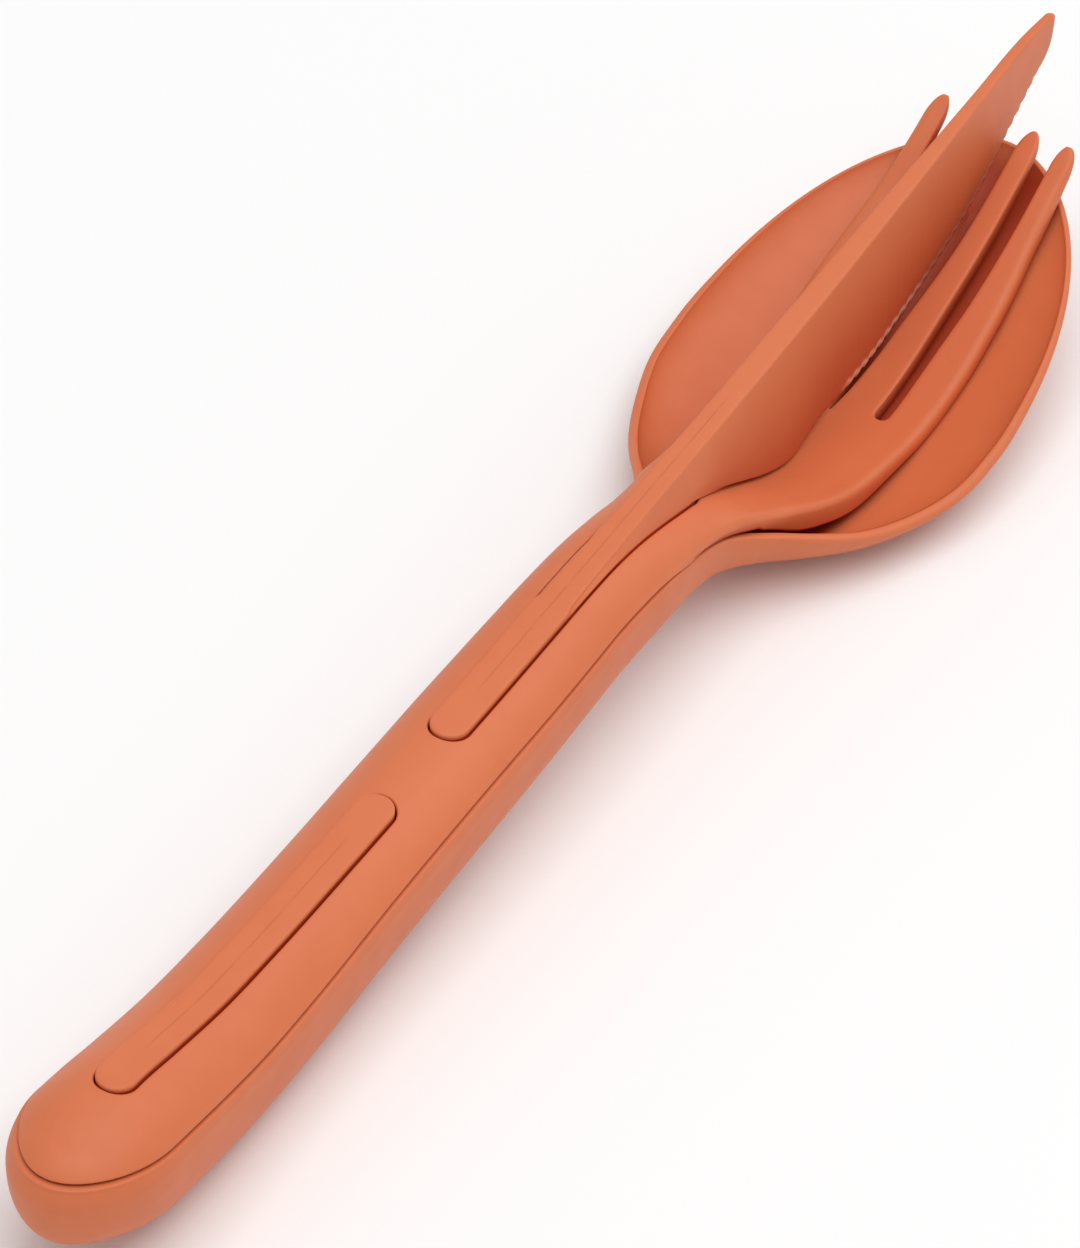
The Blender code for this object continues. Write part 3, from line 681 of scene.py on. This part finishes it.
def fork_stations():
    """Even stations, closer together round every slot end, gap root and tine tip."""
    parts = [
        round_steps(0.0, END_LENGTH, END_STEPS),
        even_steps(END_LENGTH, FORK_END - TINE_TIP, FORK_STEP),
        round_steps(FORK_END, FORK_END - TINE_TIP, TINE_STEPS),
        SIDE_ROOT + round_steps(0.0, SIDE_ROOT_ROUND, SIDE_ROOT_STEPS), SIDE_ROOT - CLOSE_STEPS,
        MIDDLE_ROOT + round_steps(0.0, MIDDLE_ROOT_ROUND, MIDDLE_ROOT_STEPS), MIDDLE_ROOT - CLOSE_STEPS,
    ]
    for start, stop in (REAR_SLOT, FRONT_SLOT):
        parts += [round_steps(start, start + SLOT_HALF, SLOT_STEPS), start - CLOSE_STEPS,
                  round_steps(stop, stop - SLOT_HALF, SLOT_STEPS), stop + CLOSE_STEPS]
    s = np.unique(np.round(np.concatenate(parts), 3))
    roots = (*REAR_SLOT, *FRONT_SLOT, MIDDLE_ROOT, SIDE_ROOT, FORK_END)
    apart = np.diff(s, prepend=-1.0) > LEAST_STEP
    return s[apart | np.isin(s, np.round(roots, 3))]


def fork_columns(s, edge, handle_share):
    """Distance of each of the fork's columns from the middle.

    In the handle the first column is the middle, the second the border of the slot, and the rest
    share out the way to the edge. Past the palm they become two strips, one for each tine of the
    half, and they pass from one rule to the other over the palm.
    """
    slot = slot_half(s)[:, None]
    handle = np.concatenate([0 * slot, slot + (edge[:, None] - slot) * handle_share], 1)
    past = s - MIDDLE_ROOT
    gap = np.where(past < 0, 0.0, smooth(MIDDLE_GAP, 1, s) * quarter(past / MIDDLE_ROOT_ROUND))
    inside, outside = smooth(SIDE_GAP, 1, s), smooth(SIDE_GAP, 2, s)
    centre, split = (inside + outside) / 2, quarter(np.abs(s - SIDE_ROOT) / SIDE_ROOT_ROUND)
    inside = (centre + (inside - centre) * split)[:, None]
    outside = (centre + (outside - centre) * split)[:, None]
    first, second = closing_shares(STRIP_A)[None], closing_shares(STRIP_B)[None]
    front = np.concatenate([gap[:, None] + (inside - gap[:, None]) * first,
                            outside + (edge[:, None] - outside) * second], 1)
    palm = ease(PALM, s)[:, None]
    return handle * (1 - palm) + front * palm


def close_tips(columns, s):
    """Draw the columns of each tine together over its tip, as half an ellipse seen from above."""
    pull = quarter((FORK_END - s) / TINE_TIP)[:, None]
    axis = np.array([INNER_TINE_AXIS] * STRIP_A + [OUTER_TINE_AXIS] * STRIP_B)[None]
    return np.where(s[:, None] > FORK_END - TINE_TIP, axis + (columns - axis) * pull, columns)


def fork_cover(s, sizes):
    """Outer and inner face of the handle cover, and the share of the way out of its columns.

    The outer face is the skin above the spoon's rim and a clearance. Along its foot it is drawn in
    by a quarter circle, and along the slots it drops by one. The inner face is an elliptic arch.
    """
    wall, foot_round = sizes.wall / MM, sizes.foot_round / MM
    limit = skin_angle(s, smooth(RIM_RISE, 1, s) + CLEARANCE)[:, None]
    foot = skin_point(s[:, None], limit)
    m = spine_of(s)[:, None]
    way = np.stack([foot[:, 0, 0], foot[:, 0, 1] - m[:, 0]], 1)
    reach = np.hypot(way[:, :1], way[:, 1:])
    room = reach - wall
    straight = np.maximum(s, FAN_END)
    share = closing_shares(STRIP_A + STRIP_B - 1)[None]
    slot = slot_half(straight)[:, None]
    power = upper_power(s)[:, None]
    start = np.arccos(np.clip(slot / outline(straight)[:, None], 0, 1) ** (power / 2))
    angle = np.concatenate([0 * start + np.pi / 2, start + (limit - start) * share], 1)
    outer = skin_point(s[:, None], angle)
    rise = outer[..., 2] - foot[..., 2]
    inset = round_drop(np.maximum(rise, 0), foot_round)
    outer[..., 0] -= way[:, :1] / reach * inset
    outer[..., 1] -= way[:, 1:] / reach * inset
    outer[..., 2] -= round_drop(np.maximum(slot_distance(outer[..., 0], outer[..., 1]), 0),
                                sizes.slot_round / MM)
    room_straight = np.interp(straight, s, room[:, 0])[:, None]
    first = slot / room_straight
    hollow = np.concatenate([0 * first, first + (1 - first) * share], 1)
    inner = outer.copy()
    inner[..., 0] = way[:, :1] / reach * room * hollow
    inner[..., 1] = m + way[:, 1:] / reach * room * hollow
    crown = smooth(SKIN, 4, m) - wall
    inner[..., 2] = foot[..., 2] + (crown - foot[..., 2]) * np.sqrt(1 - hollow ** 2)
    out = (np.cos(angle[:, 1:]) / np.cos(limit)) ** (2 / power)
    return outer, inner, (out - out[:, :1]) / (1 - out[:, :1])


def fork_plate(s, handle_share, keep, sizes):
    """Upper and lower face of the neck, the palm and the tines.

    Over the neck the plate is the handle's arch; over the palm it bends into a parabola across.
    Both faces are drawn together by quarter circles along every border, as seen from above.
    """
    edge = smooth(FORK_EDGE, 1, s)
    columns = fork_columns(s, edge, handle_share)
    share = np.clip(columns / edge[:, None], 0, 1)
    columns = close_tips(columns, s)
    bend = ease(ARCH_TO_PALM, s)[:, None]
    power = upper_power(s)[:, None]
    drop = 1 - (1 - (RIM_SHARE * share) ** power) ** (1 / power)
    form = drop / drop[:, -1:] * (1 - bend) + share ** 2 * bend
    z = smooth(SKIN, 4, s)[:, None] + smooth(FORK_EDGE, 2, s)[:, None] * form
    slope = smooth(SKIN, 4, s + 0.5) - smooth(SKIN, 4, s - 0.5)
    taper = 1 - TINE_TAPER * ease((FORK_END - TINE_THINS, FORK_END), s)
    thick = (sizes.wall / MM * taper * np.sqrt(1 + slope ** 2))[:, None]
    plan = spread(columns, s[:, None], 0.0)[..., :2]
    border = open_edges(keep, columns)
    flat = plan.reshape(-1, 2)
    border = border[flat[border[:, 0], 1] > SKIN_TO_FORK[0] - 1.5 * PLATE_LEAD]
    near = s > SKIN_TO_FORK[0] - PLATE_LEAD
    away = np.full(columns.shape, np.inf)
    nearest = distance_to(plan[near].reshape(-1, 2), flat[border[:, 0]], flat[border[:, 1]])
    away[near] = nearest.reshape(-1, columns.shape[1])
    soft = ease(EDGES_SOFTEN, s)[:, None]
    # the outer edge is round, the edges of the gaps are crisp
    inward = edge[:, None] - columns
    crisp = sizes.slot_round / MM
    upper_round = crisp + (sizes.palm_round / MM - crisp) * soft * band(inward, ROUND_BAND)
    lower_round = sizes.foot_round / MM * (1 - soft) + LOWER_ROUND * soft
    lip = band(inward, LIP_BAND)
    deep = rise_and_fall(LIP_STARTS, LIP_ENDS, s)[:, None]
    lower = z - thick - LIP * deep * lip ** 2
    rim = smooth(SKIN, 2, s) + smooth(RIM_RISE, 1, s) + CLEARANCE
    lower = np.where((s < NECK_END)[:, None], np.maximum(lower, rim[:, None]), lower)
    drop = round_drop(away, np.minimum(upper_round, UPPER_MOST * thick))
    rise = round_drop(away, np.minimum(lower_round, LOWER_MOST * thick))
    return spread(columns, s[:, None], z - drop), spread(columns, s[:, None], lower + rise)


def fork_surface(sizes):
    """Points and quads of half the fork: two faces, joined by walls along every open border."""
    s = fork_stations()
    columns = STRIP_A + STRIP_B
    keep = np.ones((len(s) - 1, columns - 1), bool)
    centre = (s[:-1] + s[1:]) / 2
    for start, stop in (REAR_SLOT, FRONT_SLOT):
        keep[(centre > start) & (centre < stop), 0] = False
    keep[centre > SIDE_ROOT, STRIP_A - 1] = False
    cover_outer, cover_inner, handle_share = fork_cover(s, sizes)
    upper, lower = fork_plate(s, handle_share, keep, sizes)
    mix = ease(SKIN_TO_FORK, s)[:, None, None]
    outer = cover_outer * (1 - mix) + upper * mix
    inner = cover_inner * (1 - mix) + lower * mix
    for grid in (outer, inner):
        grid[s <= MIDDLE_ROOT, 0, 0] = 0.0
    count = len(s) * columns
    border = open_edges(keep, outer[..., 0])
    walls = np.stack([border[:, 0], border[:, 1], border[:, 1] + count, border[:, 0] + count], 1)
    quads = np.concatenate([grid_quads(keep), grid_quads(keep, count, True), walls])
    # painted shade: the walls darken downwards, fully in the gaps, a little along the open outer edge;
    # the underside is dark throughout
    depth = np.repeat([0.0, 1.0], count).reshape(2, len(s), columns)
    depth[1, :, -1] = 1 - WALL_SHADE_LOSS * ease(WALL_SHADE_SPAN, s)
    depth = depth.ravel()
    return np.concatenate([outer.reshape(-1, 3), inner.reshape(-1, 3)]), quads, depth


def knife_stations():
    """Stations of the knife's sections, and what each is.

    Where two kinds of section meet, both have one at the same station.
    """
    (rear, rear_end), (front, front_end) = REAR_PAD, FRONT_PAD
    rows = [((BAR_START, rear), BAR),
            (round_steps(rear, rear + PAD_HALF, PAD_END_STEPS), PAD),
            (even_steps(rear + PAD_HALF, rear_end - PAD_HALF, PAD_STEP)[1:-1], PAD),
            (round_steps(rear_end, rear_end - PAD_HALF, PAD_END_STEPS)[::-1], PAD),
            ((rear_end, front), BAR),
            (round_steps(front, front + PAD_HALF, PAD_END_STEPS), PAD),
            (even_steps(front + PAD_HALF, HEEL, PAD_STEP)[1:], PAD),
            (even_steps(HEEL, front_end - PAD_HALF, HEEL_STEP)[:-1], LOOSE_PAD),
            (round_steps(front_end, front_end - PAD_HALF, TONGUE_STEPS)[::-1], LOOSE_PAD),
            (even_steps(front_end, TEETH_START[0], BLADE_STEP)[:-1], BLADE),
            (even_steps(TEETH_START[0], LENGTH - BLADE_NOSE, TOOTH_STEP)[:-1], BLADE),
            (round_steps(LENGTH, LENGTH - BLADE_NOSE, NOSE_STEPS)[::-1], BLADE)]
    s = np.concatenate([np.asarray(part, float) for part, _ in rows])
    kind = np.concatenate([np.full(len(part), value) for part, value in rows])
    return s, kind


def tooth_cut(s, sizes):
    """Depth of the serration at each station.

    The phase is the length of the edge curve divided by the tooth pitch; the cut is the depth times
    sin(pi times the phase's fraction), so hollows meet in points. It fades in and out at its ends.
    """
    fine = np.linspace(TEETH_START[0] - TOOTH_LEAD, LENGTH, 2000)
    height = smooth(EDGE, 1, fine)
    length = np.concatenate([[0], np.cumsum(np.hypot(np.diff(fine), np.diff(height)))])
    phase = np.interp(s, fine, length) / (sizes.tooth_pitch / MM)
    hollow = np.sin(np.pi * (phase % 1))
    return sizes.tooth_depth / MM * hollow * rise_and_fall(TEETH_START, TEETH_END, s)


def knife_grid(sizes):
    """Half section of the knife at every station, from the middle of its top to the middle below.

    Top: level from the middle, then a quarter circle down to the side, measured in plan from the
    border of the pad. Side: a straight line down to the level of the slot, or to the ground face
    that runs in to the cutting edge. Below a pad, its own wall goes on down to the bar.
    """
    s, kind = knife_stations()
    blade, bar, pad_end = kind == BLADE, kind == BAR, FRONT_PAD[1]
    crown = smooth(SKIN, 4, s)
    shelf = crown - SHELF_DROP
    low = shelf - BAR_DEPTH
    # half width of the pad, round at both ends of each slot
    depth = np.maximum(*(np.minimum(s - start, stop - s) for start, stop in (REAR_PAD, FRONT_PAD)))
    short = PAD_HALF - np.clip(depth, 0, PAD_HALF)
    wide = np.sqrt(PAD_HALF ** 2 - short ** 2)
    spine = s > SPINE[0][0]
    top = np.where(spine, smooth(SPINE, 1, s), crown + smooth(PAD_PROUD, 1, s))
    thick = np.where(spine, smooth(SPINE, 2, s), wide)
    edge = smooth(EDGE, 1, s) - smooth(SETTLE, 1, s) + tooth_cut(s, sizes)
    thin = smooth(EDGE, 2, s) + FOOT_WIDER * (1 - ease(FOOT_NARROWS, s))
    # the nose of the blade closes on a quarter ellipse from above and from below
    nose = np.clip((s - LENGTH + BLADE_NOSE) / BLADE_NOSE, 0, 1)
    fall = 1 - np.sqrt(1 - nose ** 2)
    middle = NOSE_LEVEL * top + (1 - NOSE_LEVEL) * edge
    top, edge = top - fall * (top - middle), edge + fall * (middle - edge)
    thick, thin = thick * (1 - NOSE_THINS[0] * fall), thin * (1 - NOSE_THINS[1] * fall)
    # top
    to_blade = ease(PAD_TO_SPINE, s)
    radius = (sizes.pad_round * (1 - to_blade) + sizes.spine_round * to_blade) / MM
    turn = np.minimum(radius, thick)
    arc = np.sin(np.linspace(0, np.pi / 2, ARC_POINTS))[None]
    level = (thick - turn)[:, None]
    x = np.concatenate([level * np.array([[0, 0.5]]), level + turn[:, None] * arc], 1)
    inward = np.where(spine[:, None], thick[:, None] - x, PAD_HALF - np.hypot(x, short[:, None]))
    upper = spread(x, s[:, None], top[:, None] - round_drop(np.maximum(inward, 0), radius[:, None]))
    # side
    sharp = ease(SHARPENS, s)
    height = np.minimum(sizes.bevel / MM, BEVEL_SHARE * np.maximum(top - edge, 0.1))
    undercut = UNDERCUT * ease((pad_end, pad_end + UNDERCUT_FADE), s)
    ground = edge + height * sharp + undercut * (1 - sharp)
    settle = ease((TONGUE_END - TONGUE_SETTLE, TONGUE_END), s)
    ledge = np.where(blade, ground, (crown - PAD_FOOT) * (1 - settle) + edge * settle)
    foot_half = np.maximum(thin, np.minimum(LEAST_HALF, LEAST_SHARE * thick))
    ledge_half = np.where(s > TONGUE_END, foot_half, wide + (thin - wide) * settle ** 2)
    corner = upper[:, -1:, 2]
    down = np.array([SIDE_SHARES])
    face = spread(thick[:, None] + (ledge_half - thick)[:, None] * down, s[:, None],
                  corner + (ledge[:, None] - corner) * down)
    # underside
    lift = ease((HEEL, HEEL + HEEL_SLOPE), s)
    under = np.where(blade, edge, shelf * (1 - lift) + (crown - TONGUE_DEPTH) * lift)
    blunt = np.maximum(thin - undercut, 0) * (1 - sharp) * (s > pad_end)
    bottom = EDGE_HALF * sharp * (1 - fall) + blunt
    points = [(np.where(blade, bottom, wide), np.where(blade, edge, ledge)),
              (np.where(blade, 0, wide), under),
              (np.where(blade, 0, np.where(kind == LOOSE_PAD, wide, PAD_HALF)), under),
              (np.where(kind <= PAD, PAD_HALF, 0), np.where(kind <= PAD, low, under)),
              (0 * s, np.where(kind <= PAD, low, under))]
    below = np.stack([np.stack([px, s, pz], -1) for px, pz in points], 1)
    grid = np.concatenate([upper, face, below], 1)
    # the bar has nothing above its shelf
    grid[bar, :2 - BELOW_POINTS, 0] = 0.0
    grid[bar, :2 - BELOW_POINTS, 2] = shelf[bar, None]
    grid[:, 0, 0] = 0.0
    return grid, s, kind


def knife_surface(sizes):
    """Points and quads of half the knife, with both ends closed."""
    grid, s, kind = knife_grid(sizes)
    rows, columns = grid.shape[:2]
    keep = np.ones((rows - 1, columns - 1), bool)
    # two kinds that meet share their outline, except where the bar ends in a wall
    keep[(np.diff(s) == 0) & ((kind[:-1] != PAD) | (kind[1:] == BAR))] = False
    caps = []
    for row in (0, rows - 1):
        first = row * columns + np.arange((columns - 1) // 2)
        last = first[0] + columns - 1 - np.arange((columns - 1) // 2)
        caps.append(np.stack([first, first + 1, last - 1, last], 1))
    # painted shade: the blade darkens towards the fork, down its side and below, and the pads are dark
    # inside the slots; a painted highlight makes its ground edge paler
    blade = rise_and_fall(BLADE_SHADE_STARTS, BLADE_SHADE_ENDS, s)
    depth, ground = np.zeros((2, rows, columns))
    side = np.linspace(0, 1, len(SIDE_SHARES)) ** BLADE_SHADE_POWER
    depth[:, TOP_POINTS:-BELOW_POINTS] = BLADE_SHADE * blade[:, None] * side
    depth[:, -BELOW_POINTS:] = blade[:, None]
    depth[s < FRONT_PAD[1], -BELOW_POINTS - 1:] = 1.0
    # pale is the painted highlight along the ground edge, and ground carries it
    pale = rise_and_fall(HIGHLIGHT_STARTS, HIGHLIGHT_ENDS, s) * (1 - HIGHLIGHT_LOSS * ease(HIGHLIGHT_FADES, s))
    ground[:, -BELOW_POINTS - 2:1 - BELOW_POINTS] = pale[:, None]
    return grid.reshape(-1, 3), np.concatenate([grid_quads(keep)] + caps), depth.ravel(), ground.ravel()


class Value:
    """A shader socket that takes part in Python arithmetic. Each sum adds its Math node."""

    def __init__(self, maker, socket):
        self.maker = maker
        self.socket = socket

    def _math(self, operation, first, second=None):
        inputs = {0: first} if second is None else {0: first, 1: second}
        return self.maker.node('ShaderNodeMath', {"operation": operation}, inputs)

    def __add__(self, other):
        return self._math('ADD', self, other)

    __radd__ = __add__

    def __mul__(self, other):
        return self._math('MULTIPLY', self, other)

    __rmul__ = __mul__

    def __sub__(self, other):
        return self._math('SUBTRACT', self, other)

    def __rsub__(self, other):
        return self._math('SUBTRACT', other, self)

    def __truediv__(self, other):
        return self._math('DIVIDE', self, other)

    def __rtruediv__(self, other):
        return self._math('DIVIDE', other, self)

    def __abs__(self):
        return self._math('ABSOLUTE', self)


class Maker:
    """Adds nodes to one material and hands back their sockets as values."""

    def __init__(self, material):
        material.use_nodes = True
        self.tree = material.node_tree
        self.shader = self.tree.nodes["Principled BSDF"]

    def connect(self, value, socket):
        """Link a value to a socket, or set a plain number or colour on it."""
        if isinstance(value, Value):
            self.tree.links.new(value.socket, socket)
        else:
            socket.default_value = value

    def node(self, kind, settings, inputs, output=0):
        """One node of a kind: its settings first, then the values or links of its sockets."""
        made = self.tree.nodes.new(kind)
        for key, setting in settings.items():
            setattr(made, key, setting)
        for key, value in inputs.items():
            self.connect(value, made.inputs[key])
        return Value(self, made.outputs[output])

    def ramp(self, value, low, high):
        """0 at low and 1 at high, smooth between."""
        return self.node('ShaderNodeMapRange', {"interpolation_type": 'SMOOTHSTEP'},
                         {"Value": value, "From Min": low, "From Max": high})

    def mix(self, share, first, second):
        """Colour between two others."""
        return self.node('ShaderNodeMix', {"data_type": 'RGBA'}, {0: share, 6: first, 7: second}, 2)

    def noise(self, place, scale, detail):
        """Cloudy values about a half, with so many patches to the metre."""
        return self.node('ShaderNodeTexNoise', {}, {"Vector": place, "Scale": scale, "Detail": detail})


def line_mask(maker, offset, half_width):
    """1 on the line where offset, a length in metres, is 0, and 0 beyond the half width."""
    return 1 - maker.ramp(abs(offset), LINE_CORE * half_width, half_width)


def along(station):
    """Y of a station in metres."""
    return (station - LENGTH / 2) * MM


def window(maker, y, span, soft):
    """1 within a span of stations, falling to 0 over the length soft at either end."""
    start, stop = along(span[0]), along(span[1])
    return maker.ramp(y, start, start + soft) * (1 - maker.ramp(y, stop - soft, stop))


def pad_lines(maker, x, y, z):
    """The fine parting line along the middle of both pads and the start of the spine."""
    rear, front = (window(maker, y, span, PAD_LINE_FADE) for span in PAD_LINES)
    upward = maker.ramp(z, *PAD_LINE_ABOVE)
    breaks = maker.noise(maker.node('ShaderNodeCombineXYZ', {}, {1: y}), BREAK_SCALE, 1.0)
    strength = PAD_LINE_LEAST + (1 - PAD_LINE_LEAST) * maker.ramp(breaks, *PAD_LINE_BREAKS)
    return line_mask(maker, x, PAD_LINE_HALF) * (rear + front) * upward * strength


def end_line(maker, x, y, z):
    """A short parting line low round the handle end, which rises along the piece as a parabola."""
    way = y - along(0.0)
    low = line_mask(maker, z - (END_LINE_HEIGHT + END_LINE_BEND * way * way), END_LINE_HALF)
    return END_LINE_SHARE * low * window(maker, y, END_LINE, END_LINE_FADE)


def moulded_plastic(name, finish, lines=None):
    """Matt moulded plastic.

    Two close oranges are mixed by wide streaks along the piece. The roughness wanders a little
    either side of its mean, and the bump is the fine grain of the eroded mould, with a raised line
    where the mould parts if lines, a function of maker, x, y and z, is given.
    """
    material = bpy.data.materials.new(name)
    maker = Maker(material)
    place = maker.node('ShaderNodeTexCoord', {}, {}, 3)
    stretched = maker.node('ShaderNodeMapping', {}, {"Vector": place, "Scale": FLOW_STRETCH})
    flow = maker.noise(stretched, FLOW_SCALE, 3.0)
    cloud = maker.noise(place, CLOUD_SCALE, 2.0)
    grain = maker.noise(place, 1 / finish.grain_size, 1.0)
    share = maker.ramp(flow * FLOW_SHARE + cloud * (1 - FLOW_SHARE), *STREAKS)
    # close is the painted shade colour, also the colour of the parting lines' dark line
    close = (*finish.painted_shade_and_seam_colour, 1.0)
    colour = maker.mix(share, (*finish.colour, 1.0), (*finish.streak, 1.0))
    # the depth mark paints shade, the ground mark a highlight on the blade's ground edge
    for mark, marked in (("depth", close), ("ground", (*finish.ground_edge_highlight_colour, 1.0))):
        strength = maker.node('ShaderNodeAttribute', {"attribute_name": mark}, {}, 2)
        colour = maker.mix(strength, colour, marked)
    rough = finish.roughness - ROUGH_SPREAD + 2 * ROUGH_SPREAD * cloud
    maker.connect(rough, maker.shader.inputs["Roughness"])
    height = grain * (finish.grain_height / MM)
    if lines:
        axes = (maker.node('ShaderNodeSeparateXYZ', {}, {0: place}, axis) for axis in range(3))
        line = lines(maker, *axes)
        height = height + line * (finish.line_height / MM)
        colour = maker.mix(line * LINE_COLOUR, colour, close)
    maker.connect(colour, maker.shader.inputs["Base Color"])
    bump = maker.node('ShaderNodeBump', {}, {"Height": height, "Distance": MM, "Strength": 1.0})
    maker.connect(bump, maker.shader.inputs["Normal"])
    maker.shader.inputs["IOR"].default_value = 1.46
    maker.shader.inputs["Specular IOR Level"].default_value = 0.45
    material.diffuse_color = (*finish.colour, 1.0)
    return material


class CUTLERY_OT_spoon(bpy.types.Operator):
    """Build the spoon: an open trough for a handle and an oval bowl"""
    bl_idname = "cutlery.spoon"
    bl_label = "Spoon"

    def execute(self, context):
        grid = spoon_grid(context.scene.cutlery_spoon)
        # depth is the painted shade on the spoon's inside under the fork
        depth = painted_shade_under_fork(grid)
        keep = np.ones((grid.shape[0] - 1, grid.shape[1] - 1), bool)
        material = moulded_plastic("spoon_matt_orange", context.scene.cutlery_plastic, end_line)
        make_piece("spoon_shell", "spoon", grid.reshape(-1, 3), grid_quads(keep), material, 50,
                   depth=depth)
        return {'FINISHED'}


class CUTLERY_OT_fork(bpy.types.Operator):
    """Build the fork: an arched handle with two slots, a palm and four tines"""
    bl_idname = "cutlery.fork"
    bl_label = "Fork"

    def execute(self, context):
        points, quads, depth = fork_surface(context.scene.cutlery_fork)
        material = moulded_plastic("fork_matt_orange", context.scene.cutlery_plastic)
        # depth is the painted shade on the fork's walls and underside
        make_piece("fork_shell", "fork", points, quads, material, 40, depth=depth)
        return {'FINISHED'}


class CUTLERY_OT_knife(bpy.types.Operator):
    """Build the knife: two pads joined by a bar, and a serrated blade"""
    bl_idname = "cutlery.knife"
    bl_label = "Knife"

    def execute(self, context):
        points, quads, depth, ground = knife_surface(context.scene.cutlery_knife)
        material = moulded_plastic("knife_matt_orange", context.scene.cutlery_plastic, pad_lines)
        # depth carries the painted shade and ground the painted highlight on the ground edge
        make_piece("knife_blade", "knife", points, quads, material, 30, depth=depth, ground=ground)
        return {'FINISHED'}


def view_axes():
    """Right, up and back of the camera from its azimuth, elevation and roll."""
    a, e, r = np.radians([CAMERA_AZIMUTH, CAMERA_ELEVATION, CAMERA_ROLL])
    back = np.array([np.sin(a) * np.cos(e), -np.cos(a) * np.cos(e), np.sin(e)])
    right = np.array([np.cos(a), np.sin(a), 0.0])
    up = np.cross(back, right)
    return np.cos(r) * right + np.sin(r) * up, np.cos(r) * up - np.sin(r) * right, back


def place_camera():
    """Stand the camera where the photograph was taken."""
    right, up, back = view_axes()
    data = bpy.data.cameras.new("camera")
    data.sensor_fit = 'HORIZONTAL'
    data.sensor_width = 36.0
    data.lens = CAMERA_LENS
    data.clip_start, data.clip_end = 0.05, 20.0
    camera = bpy.data.objects.new("camera", data)
    bpy.context.scene.collection.objects.link(camera)
    turn = Matrix(np.stack([right, up, back], 1).tolist()).to_4x4()
    place = (np.array(CAMERA_TARGET) + CAMERA_DISTANCE * back) * MM
    camera.matrix_world = Matrix.Translation(Vector(place)) @ turn
    bpy.context.scene.camera = camera


def area_light(name, place, size, power):
    """A square light that looks at the middle of the set."""
    data = bpy.data.lights.new(name, 'AREA')
    data.shape = 'SQUARE'
    data.size = size
    data.energy = power
    light = bpy.data.objects.new(name, data)
    light.location = place
    light.rotation_euler = (-Vector(place)).to_track_quat('-Z', 'Y').to_euler()
    bpy.context.scene.collection.objects.link(light)


def studio_floor(colour):
    """A wide round floor in matt paint that turns up into a backdrop all round.

    Rings of points: level out to the last radius, then up along a quarter circle. It is too wide
    to show an edge.
    """
    turn = np.linspace(0, 2 * np.pi, 97)
    bend = np.linspace(0, np.pi / 2, 9)[1:]
    radius = np.concatenate([FLOOR_RINGS, FLOOR_RINGS[-1] + BACKDROP * np.sin(bend)])[:, None]
    height = np.concatenate([np.zeros(len(FLOOR_RINGS)), BACKDROP * (1 - np.cos(bend))])[:, None]
    points = spread(radius * np.cos(turn), radius * np.sin(turn), height).reshape(-1, 3)
    quads = grid_quads(np.ones((len(radius) - 1, len(turn) - 1), bool))
    material = bpy.data.materials.new("floor_paint")
    maker = Maker(material)
    maker.shader.inputs["Base Color"].default_value = (*colour, 1.0)
    maker.shader.inputs["Roughness"].default_value = 0.9
    return add_object("floor", points, quads, material, 10 * TINY, {})


class CUTLERY_OT_studio(bpy.types.Operator):
    """Build the pale floor, the soft lights and the camera"""
    bl_idname = "cutlery.studio"
    bl_label = "Studio"

    def execute(self, context):
        studio = context.scene.cutlery_studio
        studio_floor(studio.floor_colour)
        area_light("overhead", *OVERHEAD, studio.overhead_power)
        area_light("side", *SIDE, studio.side_power)
        world = bpy.data.worlds.new("studio")
        world.use_nodes = True
        sky = world.node_tree.nodes["Background"]
        sky.inputs["Color"].default_value = (1.0, 1.0, 1.0, 1.0)
        sky.inputs["Strength"].default_value = studio.sky
        context.scene.world = world
        context.scene.view_settings.view_transform = 'Standard'
        place_camera()
        return {'FINISHED'}


class CUTLERY_PT_panel(bpy.types.Panel):
    """Sizes and buttons of the cutlery set"""
    bl_idname = "CUTLERY_PT_panel"
    bl_label = "Nesting Cutlery"
    bl_space_type = 'VIEW_3D'
    bl_region_type = 'UI'
    bl_category = "Cutlery"

    def draw(self, context):
        layout = self.layout
        for group, operator in SECTIONS:
            box = layout.box()
            settings = getattr(context.scene, group)
            for key in settings.__annotations__:
                box.prop(settings, key)
            if operator:
                box.operator(operator)


SECTIONS = (
    ("cutlery_plastic", None),
    ("cutlery_spoon", "cutlery.spoon"),
    ("cutlery_fork", "cutlery.fork"),
    ("cutlery_knife", "cutlery.knife"),
    ("cutlery_studio", "cutlery.studio"),
)
GROUPS = {
    "cutlery_plastic": PlasticFinish,
    "cutlery_spoon": SpoonSizes,
    "cutlery_fork": ForkSizes,
    "cutlery_knife": KnifeSizes,
    "cutlery_studio": StudioSettings,
}
CLASSES = (*GROUPS.values(), CUTLERY_OT_spoon, CUTLERY_OT_fork, CUTLERY_OT_knife,
           CUTLERY_OT_studio, CUTLERY_PT_panel)


def register():
    for item in CLASSES:
        bpy.utils.register_class(item)
    for name, group in GROUPS.items():
        setattr(bpy.types.Scene, name, bpy.props.PointerProperty(type=group))


def unregister():
    for name in GROUPS:
        delattr(bpy.types.Scene, name)
    for item in reversed(CLASSES):
        bpy.utils.unregister_class(item)


def main():
    register()
    bpy.ops.cutlery.spoon()
    bpy.ops.cutlery.fork()
    bpy.ops.cutlery.knife()
    bpy.ops.cutlery.studio()


if __name__ == "__main__":
    main()
